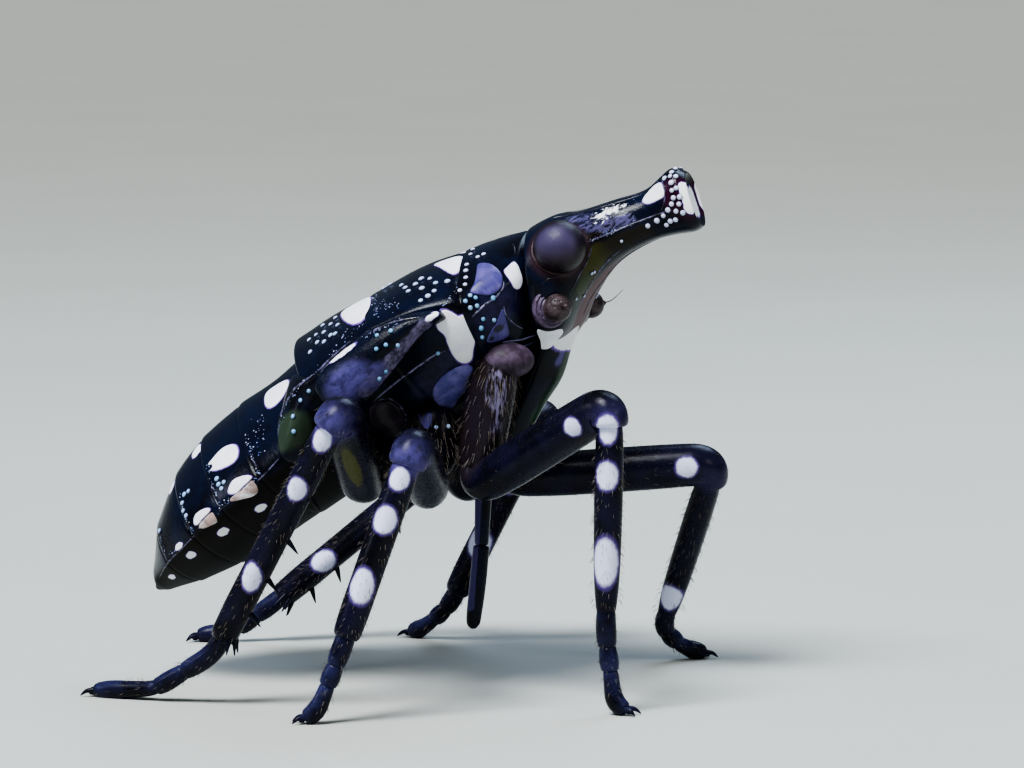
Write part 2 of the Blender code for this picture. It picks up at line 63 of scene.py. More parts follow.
# Body axes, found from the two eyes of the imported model

def body_turn():
    forward = Vector((math.cos(PITCH), 0.0, math.sin(PITCH)))
    back_up = Vector((-math.sin(PITCH), 0.0, math.cos(PITCH)))
    across = Vector((0.0, 1.0, 0.0))
    left = across * math.cos(ROLL) - back_up * math.sin(ROLL)
    up = across * math.sin(ROLL) + back_up * math.cos(ROLL)
    return Matrix((forward, left, up)).transposed()


def box_middle(node):
    low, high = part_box(node)
    return (Vector(low) + Vector(high)) / (2.0 * MM)


TURN = body_turn()
EYES_MIDDLE = (box_middle("eye_right") + box_middle("eye_left")) / 2.0
BODY_AT = EYES_MIDDLE - TURN @ Vector((EYE_AT.x, 0.0, EYE_AT.z))
BODY = Matrix.Translation(BODY_AT) @ TURN.to_4x4()
STEP_ASIDE = BODY_AT - HOME


# Modelling helpers

def edit_mode():
    bpy.ops.object.mode_set(mode="EDIT")
    bpy.ops.mesh.select_all(action="SELECT")


def object_mode():
    bpy.ops.object.mode_set(mode="OBJECT")


def choose(*pieces):
    """Selects pieces and nothing else; the first is the active one."""
    bpy.ops.object.select_all(action="DESELECT")
    for piece in pieces:
        piece.select_set(True)
    bpy.context.view_layer.objects.active = pieces[0]


def move_selected_to(piece, old, new):
    """Moves the selected corners, found by their old places, to new ones."""
    shape = bmesh.from_edit_mesh(piece.data)
    for corner in shape.verts:
        if corner.select:
            corner.co = new[min(range(len(old)), key=lambda k: (corner.co - old[k]).length_squared)]
    bmesh.update_edit_mesh(piece.data)


def pick_first(piece, count):
    """Selects the first corners of a piece."""
    bpy.ops.mesh.select_all(action="DESELECT")
    shape = bmesh.from_edit_mesh(piece.data)
    shape.verts.ensure_lookup_table()
    for corner in shape.verts:
        corner.select_set(corner.index < count)
    shape.select_flush(True)
    bmesh.update_edit_mesh(piece.data)


def skin(name, rings, levels=2):
    """A surface through rings of points: a circle extruded from ring to ring, closed and smoothed."""
    count = len(rings[0])
    bpy.ops.mesh.primitive_circle_add(vertices=count, radius=1.0)
    piece = bpy.context.object
    piece.name = name
    start = [corner.co.copy() for corner in piece.data.vertices]
    edit_mode()
    move_selected_to(piece, start, rings[0])
    bpy.ops.mesh.extrude_region_move()
    bpy.ops.mesh.merge(type="CENTER")
    pick_first(piece, count)
    for last, ring in zip(rings, rings[1:]):
        bpy.ops.mesh.extrude_region_move()
        move_selected_to(piece, last, ring)
    bpy.ops.mesh.extrude_region_move()
    bpy.ops.mesh.merge(type="CENTER")
    bpy.ops.mesh.select_all(action="SELECT")
    bpy.ops.mesh.normals_make_consistent(inside=False)
    object_mode()
    smooth(piece, levels)
    return piece


def smooth(piece, levels):
    choose(piece)
    step = piece.modifiers.new("smooth", "SUBSURF")
    step.levels = step.render_levels = levels
    bpy.ops.object.modifier_apply(modifier=step.name)


def stretch(radii):
    """Stretches the new shape along its axes."""
    edit_mode()
    bpy.ops.transform.resize(value=radii)
    object_mode()


def ball(name, centre, radii, turn=Matrix.Identity(3), segments=24):
    """A ball stretched to three radii and turned."""
    bpy.ops.mesh.primitive_uv_sphere_add(segments=segments, ring_count=segments // 2, radius=1.0)
    piece = bpy.context.object
    piece.name = name
    stretch(radii)
    piece.data.transform(Matrix.Translation(centre) @ turn.to_4x4())
    smooth(piece, 1)
    return piece


def facing(direction):
    """A turn that brings the z axis to a direction."""
    z = direction.normalized()
    x = Vector((0.0, 0.0, 1.0)).cross(z)
    if x.length < 1e-4:
        x = Vector((1.0, 0.0, 0.0))
    x.normalize()
    return Matrix((x, z.cross(x), z)).transposed()


def surface(*pieces):
    """The skin of shapes, for setting small things on it."""
    corners, faces = [], []
    for piece in pieces:
        start = len(corners)
        corners += [corner.co.copy() for corner in piece.vertices]
        faces += [tuple(start + k for k in face.vertices) for face in piece.polygons]
    return BVHTree.FromPolygons(corners, faces)


def settle_on(skin_tree, place):
    """The nearest point of a skin, and the way out of it."""
    return skin_tree.find_nearest(place)[:2]


def on_side(place, side):
    return Vector((place[0], side * place[1], place[2]))


def marks_on(side, marks):
    """Places on one side of the body, from marks in hundredths of a millimetre on the left."""
    return [Vector((u / 100.0, side * v / 100.0, w / 100.0)) for u, v, w in marks]


def circle(count):
    """Cosine and sine of each step round a circle."""
    turns = [2.0 * math.pi * k / count for k in range(count)]
    return [(math.cos(turn), math.sin(turn)) for turn in turns]


def smooth_step(a, b, c, d, t):
    """A share t of the way from b to c on a smooth line, as Catmull and Rom draw it."""
    return 0.5 * ((2 * b) + (c - a) * t + (2 * a - 5 * b + 4 * c - d) * t * t
                  + (3 * b - a - 3 * c + d) * t ** 3)


def curve_through(points, per_span, closed=False):
    """A smooth line through points."""
    count = len(points)
    line = []
    for k in range(count if closed else count - 1):
        near = [points[n % count if closed else min(max(n, 0), count - 1)] for n in range(k - 1, k + 3)]
        line += [smooth_step(*near, j / per_span) for j in range(per_span)]
    return line if closed else line + [points[-1].copy()]


def row_at(table, place):
    """A row of numbers at a place between the rows of a table, smoothly joined."""
    last = len(table) - 1
    k = min(int(place), last - 1)
    near = [table[min(max(n, 0), last)] for n in range(k - 1, k + 3)]
    return [smooth_step(*four, place - k) for four in zip(*near)]


def rows_through(table):
    """The rows of a table with smooth ones between them."""
    return [row_at(table, k / PER_ROW) for k in range((len(table) - 1) * PER_ROW + 1)]


def spread(values, share):
    """A value a share of the way along an evenly spaced list."""
    place = share * (len(values) - 1)
    low = min(int(place), len(values) - 2)
    return values[low] + (values[low + 1] - values[low]) * (place - low)


def tapered(radii, count):
    """Radii for each point of a path, from an evenly spaced list."""
    return [spread(radii, k / (count - 1)) for k in range(count)]


def tube_rings(points, radii, sides=16, squareness=0.0):
    """Rings square to a path; squareness draws the round section towards four edges."""
    count = len(points)
    rings = []
    normal = None
    for k in range(count):
        ahead = (points[min(k + 1, count - 1)] - points[max(k - 1, 0)]).normalized()
        if normal is None:
            normal = Vector((0.0, 0.0, 1.0)) if abs(ahead.z) < 0.9 else Vector((1.0, 0.0, 0.0))
        normal = (normal - ahead * normal.dot(ahead)).normalized()
        side = ahead.cross(normal)
        ring = []
        for j in range(sides):
            turn = 2.0 * math.pi * j / sides
            edge = 1.0 + squareness * math.cos(4.0 * turn)
            ring.append(points[k] + (normal * math.cos(turn) + side * math.sin(turn)) * radii[k] * edge)
        rings.append(ring)
    return rings


RIDGE_SINK = 0.35


def ridge(skin_tree, marks, radius):
    """A fine raised line that follows a skin through marked places."""
    line = []
    for place in curve_through(marks, 6):
        spot, normal = settle_on(skin_tree, place)
        line.append(spot - normal * radius * RIDGE_SINK)
    count = len(line)
    radii = [radius * min(1.0, 0.25 + 3.0 * min(k, count - 1 - k) / count) for k in range(count)]
    return skin("line", tube_rings(line, radii, 8), 1)


# A plate's rings: share of the way out from its middle, and share of its thickness
PLATE_RINGS = ((1.0, -0.6), (1.0, 0.2), (0.97, 0.8), (0.90, 1.0), (0.62, 1.0), (0.30, 1.0))


def plate(skin_tree, outline, rise, crown=0.0, grow=1.0):
    """A thin plate with a rounded edge, laid on a skin inside an outline."""
    line = curve_through(outline, 4, closed=True)
    middle = sum(line, Vector()) / len(line)
    rings = []
    for share, lift in PLATE_RINGS:
        ring = []
        for mark in line:
            spot, normal = settle_on(skin_tree, middle.lerp(mark, share * grow))
            ring.append(spot + normal * (rise * lift + crown * (1.0 - share * share)))
        rings.append(ring)
    return skin("plate", rings, 1)


def merged(name, pieces):
    """One object made of several."""
    choose(*pieces)
    if len(pieces) > 1:
        bpy.ops.object.join()
    pieces[0].name = name
    return pieces[0]


def built(name, shape):
    """A piece made of loose corners and faces."""
    mesh = bpy.data.meshes.new(name)
    shape.to_mesh(mesh)
    shape.free()
    piece = bpy.data.objects.new(name, mesh)
    bpy.context.scene.collection.objects.link(piece)
    return piece


def strewn(name, master, places, tones):
    """Copies of one small shape, joined to a single piece, each with its own place, size and tone."""
    shape = bmesh.new()
    tint = shape.verts.layers.float_color.new("tone")
    for place, tone in zip(places, tones):
        first = len(shape.verts)
        shape.from_mesh(master.data)
        shape.verts.ensure_lookup_table()
        new = shape.verts[first:]
        for corner in new:
            corner[tint] = (max(0.0, corner.co.z), tone, 0.0, 1.0)
        bmesh.ops.transform(shape, matrix=place, verts=new)
    bpy.data.objects.remove(master, do_unlink=True)
    return built(name, shape)


def finish(piece, material, slot, *nodes, in_body=True):
    """Gives a shape its place and finish, and hides the solids that it stands for; its slot is not used."""
    place = Matrix.Scale(MM, 4)
    piece.data.transform(place @ BODY if in_body else place)
    piece.data.materials.clear()
    piece.data.materials.append(material)
    piece.data.shade_smooth()
    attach(piece, "root")
    if nodes:
        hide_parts(*nodes)


# Paint: sums on sockets and one way of making nodes

class Wire:
    """A value that runs between nodes and can be used in sums."""

    def __init__(self, paint, socket):
        self.paint, self.socket = paint, socket

    def sum(self, operation, *values):
        return self.paint.node("ShaderNodeMath", dict(enumerate(values)), operation=operation)

    def __add__(self, other):
        return self.sum("ADD", self, other)

    def __sub__(self, other):
        return self.sum("SUBTRACT", self, other)

    def __rsub__(self, other):
        return self.sum("SUBTRACT", other, self)

    def __mul__(self, other):
        return self.sum("MULTIPLY", self, other)

    def least(self, other):
        return self.sum("MINIMUM", self, other)

    def size(self):
        return self.sum("ABSOLUTE", self)


class Paint:
    """A material and the nodes that colour it."""

    def __init__(self, name):
        self.material = bpy.data.materials.new(name)
        self.material.use_nodes = True
        self.tree = self.material.node_tree

    def feed(self, socket, value):
        """Links a wire to a socket, or sets a value there."""
        if isinstance(value, Wire):
            self.tree.links.new(value.socket, socket)
        else:
            socket.default_value = (*value, 1.0) if socket.type == "RGBA" else value

    def node(self, kind, values=(), output=0, **settings):
        made = self.tree.nodes.new(kind)
        for key, value in settings.items():
            setattr(made, key, value)
        for key, value in dict(values).items():
            self.feed(made.inputs[key], value)
        return Wire(self, made.outputs[output])

    def place(self, in_body=True):
        """The place in millimetres, in the body's axes or in the frame's."""
        values = {"Vector": self.node("ShaderNodeTexCoord", output="Object"), "Scale": (1 / MM,) * 3}
        if in_body:
            back = TURN.transposed()
            values.update(Rotation=back.to_euler("XYZ"), Location=-(back @ BODY_AT))
        return self.node("ShaderNodeMapping", values)

    def parts(self, value, kind="XYZ"):
        """The three parts of a place or colour."""
        made = self.tree.nodes.new("ShaderNodeSeparate" + kind)
        self.feed(made.inputs[0], value)
        return [Wire(self, socket) for socket in made.outputs]

    def tone(self):
        """The two tones that each small piece carries."""
        tone = self.node("ShaderNodeAttribute", output="Color", attribute_name="tone")
        return self.parts(tone, "Color")[:2]

    def both_sides(self, place):
        """The same place with its left and right sides alike, and how far forward and up it is."""
        u, v, w = self.parts(place)
        return self.node("ShaderNodeCombineXYZ", {0: u, 1: v.size(), 2: w}), u, w

    def vector(self, operation, first, second, output=0):
        return self.node("ShaderNodeVectorMath", {0: first, 1: second}, output, operation=operation)

    def length(self, place):
        return self.node("ShaderNodeVectorMath", {0: place}, 1, operation="LENGTH")

    def far(self, place, centre):
        """How far a place lies from a centre."""
        return self.length(self.vector("SUBTRACT", place, centre))

    def noise(self, place, scale, detail=3.0, rough=0.6, output=0):
        """Cloudy noise; three numbers for the scale stretch it."""
        if isinstance(scale, tuple):
            place, scale = self.vector("MULTIPLY", place, scale), 1.0
        return self.node("ShaderNodeTexNoise", {
            "Vector": place, "Scale": scale, "Detail": detail, "Roughness": rough}, output)

    def cells(self, place, scale, feature="F1"):
        return self.node("ShaderNodeTexVoronoi", {"Vector": place, "Scale": scale}, feature=feature)

    def step(self, value, start, end, low=0.0, high=1.0):
        """A smooth step of a value from one level to another."""
        return self.node("ShaderNodeMapRange", {
            "Value": value, "From Min": start, "From Max": end, "To Min": low, "To Max": high},
            interpolation_type="SMOOTHSTEP")

    def mix(self, share, first, second):
        """Mixes two colours by a share."""
        return self.node("ShaderNodeMix", {0: share, 6: first, 7: second}, 2, data_type="RGBA")

    def start(self, colour, cloud, smoothest, roughest, height=None):
        """The first coat, on which other layers are laid; the cloud says how rough it is."""
        self.colour, self.height = colour, height or cloud
        self.rough = self.step(cloud, 0.2, 0.8, smoothest, roughest)

    def lay(self, share, colour, rough=None, rise=0.0):
        """Lays a colour over what is there; share says where."""
        self.colour = self.mix(share, self.colour, colour)
        if rough is not None:
            self.rough = self.rough + share * (rough - self.rough)
        if rise:
            self.height = self.height + share * rise

    def close(self, depth, strength, shine):
        """Joins the layers to the shader; depth is that of the fine relief."""
        relief = {"Height": self.height, "Distance": depth, "Strength": strength}
        ends = {"Base Color": self.colour, "Roughness": self.rough,
                "Normal": self.node("ShaderNodeBump", relief), "Specular IOR Level": shine}
        for name, value in ends.items():
            self.feed(self.tree.nodes["Principled BSDF"].inputs[name], value)
        return self.material

    def nearest(self, distances):
        least = distances[0]
        for distance in distances[1:]:
            least = least.least(distance)
        return least

    def rods(self, place, *rods):
        """How far a place lies out from the nearest of some straight rods; 1 is a surface."""
        distances = []
        for start, end, radius in rods:
            run = Vector(end) - Vector(start)
            offset = self.vector("SUBTRACT", place, start)
            along = self.vector("DOT_PRODUCT", offset, run / run.length_squared, 1)
            along = self.node("ShaderNodeClamp", {0: along})
            nearest = self.node("ShaderNodeVectorMath", {0: run, 3: along}, operation="SCALE")
            distances.append(self.far(offset, nearest) * (1.0 / radius))
        return self.nearest(distances)

    def patches(self, place, *spots):
        """How far a place lies out from the nearest of some egg-shaped spots; 1 is an edge."""
        offsets = [(self.vector("SUBTRACT", place, centre), radii) for centre, radii in spots]
        return self.nearest([self.length(self.vector("DIVIDE", *pair)) for pair in offsets])

    def wander(self, place, scale, amount):
        """The place shaken a little, so that edges come out uneven."""
        centred = self.vector("SUBTRACT", self.noise(place, scale, 2.0, 0.5, 1), (0.5, 0.5, 0.5))
        return self.vector("ADD", place, self.vector("MULTIPLY", centred, (amount,) * 3))

    def sky_sheen(self, strength, *spots):
        """A soft, cloudy painted reflection of the sky, in lilac, over some spots."""
        mottled = self.step(self.noise(self.at, 7.0, 4.0, 0.65), 0.28, 0.60, 0.35, 1.0)
        share = self.step(self.patches(self.shaken, *spots), 1.25, 0.55) * mottled * strength
        self.lay(share, self.mix(self.cloud, SKY_SHEEN_DEEP, LILAC), 0.42)

    def tint(self, colour, far, strength=1.0, rough=None):
        """A colour with a soft edge, which lies where far is about 1."""
        self.lay(self.step(far, 1.18, 0.78) * strength, colour, rough)

    def wax(self, far):
        """White wax with a thin violet edge; far is 1 where the wax ends."""
        self.lay(self.step(far, 1.16, 1.0) * 0.8, WAX_EDGE)
        self.lay(self.step(far, 1.02, 0.93), WAX, 0.5, 1.0)


# Colours as light: those of the living insect, and some that are painted reflections and painted green light
# on it
BLACK = (0.003, 0.003, 0.005)
NAVY = (0.004, 0.007, 0.022)
WAX = (0.93, 0.94, 0.97)
WAX_EDGE = (0.22, 0.12, 0.50)
# deeper tone of the lilac painted sky reflection
SKY_SHEEN_DEEP = (0.044, 0.042, 0.140)
LILAC = (0.115, 0.095, 0.300)
CALLUS = (0.062, 0.054, 0.200)
OLIVE = (0.040, 0.040, 0.006)
# painted green light on the lower faces of the head and face shield
GREEN_LIGHT = (0.014, 0.036, 0.020)
BROWN = (0.110, 0.052, 0.060)
BEIGE = (0.42, 0.30, 0.27)
MAGENTA = (0.030, 0.003, 0.018)


def shell(name, rough=0.17, in_body=True):
    """Glossy black shell in its first coat, with navy clouds and fine grain."""
    paint = Paint(name)
    paint.at = paint.place(in_body)
    if in_body:
        paint.at, paint.u, paint.w = paint.both_sides(paint.at)
    paint.cloud = paint.noise(paint.at, 2.2, 4.0)
    fine = paint.noise(paint.at, 26.0)
    grain = paint.noise(paint.at, 95.0, 2.0, 0.5)
    paint.shaken = paint.wander(paint.at, 6.0, 0.10)
    paint.uneven = paint.wander(paint.at, 16.0, 0.04)
    colour = paint.mix(paint.step(paint.cloud, 0.35, 0.7), BLACK, NAVY)
    paint.start(colour, fine, rough * 0.75, rough * 1.35, grain * 0.25 + fine * 0.6)
    return paint


def clouded_finish(name, grain, span, first, second, roughs, relief, in_body=True):
    """A finish of two colours in soft clouds."""
    paint = Paint(name)
    cloud = paint.noise(paint.place(in_body), *grain)
    paint.start(paint.mix(paint.step(cloud, *span), first, second), cloud, *roughs)
    return paint.close(*relief)


def wax_finish():
    """Thick white wax: a fine crumbly surface, cooler in soft clouds."""
    paint = Paint("wax_white")
    place = paint.place()
    cloud = paint.step(paint.noise(place, 5.0), 0.35, 0.75)
    paint.start(paint.mix(cloud, WAX, (0.80, 0.80, 0.93)), paint.noise(place, 40.0, 4.0, 0.7), 0.42, 0.62)
    return paint.close(0.000006, 0.5, 0.4)


# Trunk sections, repeated from the solids: u, tilt, back, half width, side edge, belly
PROTHORAX = (
    (1.95, 0.56, 0.39, 0.92, -0.17, -0.97),
    (1.60, 0.48, 0.51, 1.16, -0.14, -1.05),
    (1.11, 0.35, 0.67, 1.42, -0.06, -1.14),
)
MESOTHORAX = (
    (1.11, 0.35, 0.67, 1.42, -0.02, -1.14),
    (0.55, 0.15, 0.87, 1.54, 0.24, -1.20),
    (-0.06, 0.0, 0.97, 1.58, 0.40, -1.22),
)
METATHORAX = (
    (-0.06, 0.0, 0.97, 1.58, 0.40, -1.22),
    (-0.62, 0.0, 1.08, 1.54, 0.38, -1.20),
    (-1.26, 0.0, 1.12, 1.40, 0.32, -1.09),
)
ABDOMEN_CUTS = (-1.26, -2.44, -3.13, -3.72, -4.34, -4.89)
ABDOMEN_SHAPE = (
    (-4.89, -0.34, 0.10, -0.38, -0.42),
    (-4.78, -0.14, 0.34, -0.34, -0.50),
    (-4.34, 0.31, 0.82, -0.29, -0.66),
    (-3.72, 0.69, 1.22, -0.26, -0.81),
    (-3.13, 0.86, 1.44, -0.25, -0.87),
    (-2.44, 0.91, 1.50, -0.23, -0.92),
    (-1.85, 0.88, 1.40, -0.15, -0.97),
    (-1.26, 0.92, 1.26, 0.02, -1.03),
)
ROOF = 1.3
KEEL = 1.2
HALF_RING = (0, 10, 22, 36, 50, 64, 76, 84, 90, 96, 104, 116, 130, 146, 164, 180)


def section_point(section, angle, grow=0.0):
    """Point on the right half of a section: 0 is the back, 90 the side edge, 180 the belly."""
    top, edge_v, edge_w, bottom = section
    turn = math.radians(angle)
    power, end = (ROOF, top) if angle <= 90.0 else (KEEL, bottom)
    v = edge_v * abs(math.sin(turn)) ** power
    w = edge_w + (end - edge_w) * abs(math.cos(turn)) ** power
    middle = (top + bottom) / 2.0
    scale = 1.0 + grow / max(edge_v, (top - bottom) / 2.0)
    return v * scale, middle + (w - middle) * scale


def trunk_ring(u, tilt, section, grow=0.0):
    ring = []
    for side, angles in ((-1.0, HALF_RING), (1.0, HALF_RING[-2:0:-1])):
        for angle in angles:
            v, w = section_point(section, angle, grow)
            ring.append(Vector((u + tilt * w, side * v, w)))
    return ring


# Each shell tucks under the one before it and ends in a rounded lip
SHELL_STEPS = ((-0.10, -0.09), (0.0, -0.035), (0.05, 0.0), (0.2, 0.0), (0.35, 0.002), (0.5, 0.004),
               (0.65, 0.008), (0.8, 0.012), (0.90, 0.018), (0.96, 0.022), (1.0, 0.012), (1.012, -0.03),
               (0.97, -0.07))


def thorax_shell(name, table):
    rings = []
    for share, grow in SHELL_STEPS:
        inside = min(max(share, 0.0), 1.0)
        u, tilt, *section = row_at(table, inside * (len(table) - 1))
        ahead = (share - inside) * (table[-1][0] - table[0][0])
        rings.append(trunk_ring(u + ahead, tilt, section, grow))
    return skin(name, rings)


def abdomen_row(u):
    place = 0.0
    for k, (low, high) in enumerate(zip(ABDOMEN_SHAPE, ABDOMEN_SHAPE[1:])):
        if u >= low[0]:
            place = k + min(1.0, (u - low[0]) / (high[0] - low[0]))
    return row_at(ABDOMEN_SHAPE, place)[1:]


def abdomen_shell(number):
    start, end = ABDOMEN_CUTS[number:number + 2]
    rings = []
    for share, grow in SHELL_STEPS:
        u = start + (end - start) * share
        if end == ABDOMEN_CUTS[-1]:
            if share > 1.0 or grow < -0.05 and share > 0.5:
                continue
            grow = min(grow, 0.0)
        rings.append(trunk_ring(u, 0.0, abdomen_row(u), grow))
    return skin("abdomen_shell_%d" % (number + 1), rings)


# White spots that are painted: middle and half sizes
PRONOTUM_WHITE = ((1.30, 0.0, 0.66), (0.10, 0.16, 0.08))
WHITES_ABDOMEN = (
    ((-3.22, 0.42, 0.74), (0.10, 0.20, 0.16)),
    ((-3.84, 0.32, 0.60), (0.09, 0.18, 0.14)),
    ((-4.02, 1.02, -0.24), (0.085, 0.14, 0.045)),
    ((-2.74, 1.23, -0.52), (0.085, 0.12, 0.055)),
    ((-3.36, 1.18, -0.46), (0.090, 0.12, 0.060)),
    ((-3.97, 0.95, -0.42), (0.080, 0.12, 0.050)),
    ((-4.49, 0.52, -0.44), (0.060, 0.12, 0.035)),
)
# White wax patches: the shell that carries each, and its outline. The places in outlines and marks,
# here and further down, are in hundredths of a millimetre, on the left side of the body
WAX_PLATES = (
    ("mesothorax", ((93, 42, 72), (110, 36, 68), (130, 40, 58), (130, 70, 48), (126, 90, 39), (117, 98, 40),
        (109, 84, 52), (100, 62, 63))),
    ("envelope", ((-46, 48, 97), (-24, 40, 102), (-2, 50, 97), (3, 80, 84), (2, 110, 68), (-8, 132, 57),
        (-24, 130, 64), (-38, 98, 80))),
    ("prothorax", ((175, 96, 2), (182, 89, 5), (190, 80, 5), (189, 84, -8), (186, 87, -22), (180, 91, -29),
        (173, 96, -25), (173, 98, -14))),
    ("envelope", ((89, 146, 5), (96, 143, -4), (99, 139, -13), (105, 136, -15), (109, 131, -25),
        (107, 127, -36), (98, 122, -48), (84, 114, -57), (71, 106, -66), (60, 109, -62), (58, 121, -50),
        (64, 132, -32), (69, 138, -22), (68, 144, -8), (77, 148, 2))),
    ("abdomen", ((-309, 100, 31), (-296, 99, 40), (-275, 97, 44), (-257, 106, 38), (-254, 118, 26),
        (-263, 126, 16), (-279, 124, 17), (-297, 116, 23))),
    ("abdomen", ((-293, 142, -14), (-281, 139, -5), (-269, 140, -6), (-256, 143, -12), (-254, 146, -18),
        (-272, 146, -20), (-284, 146, -21))),
    ("abdomen", ((-360, 124, -16), (-352, 123, -8), (-337, 128, -9), (-327, 133, -14), (-330, 134, -18),
        (-343, 130, -19), (-355, 126, -21))),
    ("abdomen", ((-196, 50, 73), (-182, 46, 76), (-160, 58, 74), (-156, 72, 66), (-168, 86, 52),
        (-188, 92, 48), (-198, 80, 56))),
    ("head", ((378, 26, -21), (392, 23, -19), (402, 27, -23), (402, 33, -31), (397, 36, -41), (386, 36, -40),
        (372, 34, -36), (368, 31, -28))),
    ("face", ((160, 78, -84), (170, 72, -93), (184, 60, -100), (180, 47, -103), (160, 42, -108),
        (146, 50, -106), (144, 66, -96))),
)
# Smooth coloured plates: piece, shell, thickness, swelling and outline
SMOOTH_PLATES = (
    ("beige_side_plates", "abdomen", 0.012, 0.0, ((-293, 146, -21), (-272, 146, -22), (-255, 147, -20),
        (-257, 143, -33), (-267, 142, -35), (-280, 144, -30), (-295, 146, -25))),
    ("beige_side_plates", "abdomen", 0.012, 0.0, ((-355, 129, -22), (-338, 132, -20), (-326, 135, -21),
        (-329, 133, -31), (-340, 131, -30), (-353, 128, -27))),
    ("lavender_plates", "prothorax", 0.025, 0.030, ((150, 85, 31), (162, 86, 24), (169, 93, 12),
        (170, 101, -3), (163, 108, -13), (153, 115, -16), (141, 122, -12), (127, 128, 2), (137, 118, 10),
        (145, 102, 22))),
    ("lavender_plates", "prothorax", 0.010, 0.004, ((146, 106, -37), (139, 97, -52), (127, 84, -68),
        (112, 95, -66), (103, 108, -60), (115, 109, -52), (129, 107, -46))),
    ("violet_side_plates", "envelope", 0.016, 0.030, ((36, 112, -59), (58, 108, -63), (66, 99, -71),
        (58, 90, -86), (48, 84, -96), (38, 79, -103), (29, 80, -97), (22, 79, -99), (12, 76, -103),
        (0, 74, -106), (-6, 82, -94), (-2, 99, -74), (12, 108, -62))),
    ("plum_side_plates", "envelope", 0.020, 0.020, ((-71, 124, -35), (-52, 123, -40), (-44, 112, -53),
        (-50, 96, -72), (-68, 82, -82), (-86, 82, -80), (-90, 98, -62), (-84, 115, -46))),
    ("lavender_plates", "hips", 0.010, 0.010, ((-33, 96, -77), (-26, 103, -85), (-18, 101, -85),
        (-16, 104, -93), (-26, 109, -102), (-33, 110, -101), (-34, 105, -88))),
)
# Finishes of those plates and the hip covers: piece, slot, material, colour, clouds, roughness
PLATE_FINISHES = (
    ("beige_side_plates", "abdomen", "beige_plate", BEIGE, WAX, 0.45),
    ("lavender_plates", "thorax", "callus_plate", CALLUS, LILAC, 0.34),
    ("violet_side_plates", "thorax", "side_plate", (0.078, 0.078, 0.28), (0.17, 0.15, 0.41), 0.38),
    ("hip_covers", "leg", "hip_cover_plate", (0.034, 0.020, 0.036), (0.105, 0.072, 0.120), 0.55),
    ("plum_side_plates", "thorax", "plum_plate", (0.020, 0.013, 0.022), (0.045, 0.028, 0.046), 0.26),
)
HIP_COVER_AT = (1.02, 0.74, -0.90)      # a dome that caps the fore coxa
HIP_COVER_RADII = (0.39, 0.36, 0.25)
WAX_RISE = 0.016
WAX_EDGE_RISE = 0.007
WAX_EDGE_GROW = 1.07


def add_plates(trees):
    """Wax patches with a violet edge, and the smooth coloured plates of the sides."""
    waxes, edges = [], []
    plates = {name: [] for name, *_ in PLATE_FINISHES}
    for _, side in SIDES:
        for where, outline in WAX_PLATES:
            marks = marks_on(side, outline)
            waxes.append(plate(trees[where], marks, WAX_RISE))
            if where != "face":
                edges.append(plate(trees[where], marks, WAX_EDGE_RISE, grow=WAX_EDGE_GROW))
        for name, where, rise, crown, outline in SMOOTH_PLATES:
            plates[name].append(plate(trees[where], marks_on(side, outline), rise, crown))
        plates["hip_covers"].append(
            ball("cover", on_side(HIP_COVER_AT, side), HIP_COVER_RADII, Matrix.Rotation(PITCH, 3, "Y")))
    finish(merged("wax_patches", waxes), wax_finish(), "thorax")
    edge = clouded_finish("wax_edge", (18.0,), (0.3, 0.7), (0.05, 0.015, 0.12), WAX_EDGE, (0.3, 0.5),
                          (0.000005, 0.5, 0.3))
    finish(merged("wax_patch_edges", edges), edge, "thorax")
    for name, slot, *look in PLATE_FINISHES:
        finish(merged(name, plates[name]), smooth_plate_finish(*look), slot)


def smooth_plate_finish(name, colour, cloud_colour, rough):
    """A smooth satin plate with soft clouds of a second colour."""
    paint = Paint(name)
    place = paint.place()
    cloud = paint.step(paint.noise(place, 5.0, 3.0, 0.55), 0.40, 0.72)
    fine = paint.noise(place, 60.0)
    streaks = paint.noise(place, (6.0, 30.0, 6.0))
    paint.start(paint.mix(cloud, colour, cloud_colour), fine, rough * 0.85, rough * 1.2,
                fine * 0.4 + streaks * 0.6)
    paint.lay(paint.step(streaks, 0.50, 0.75) * 0.45, BLACK)
    both = paint.both_sides(paint.wander(place, 16.0, 0.04))[0]
    dark = paint.patches(both, ((1.25, 1.02, -0.54), (0.075, 0.10, 0.045)),
                         ((1.10, 1.05, -0.60), (0.035, 0.10, 0.025)))
    paint.lay(paint.step(dark, 1.1, 0.8) * 0.9, (0.010, 0.012, 0.012))
    return paint.close(0.000006, 0.4, 0.25)


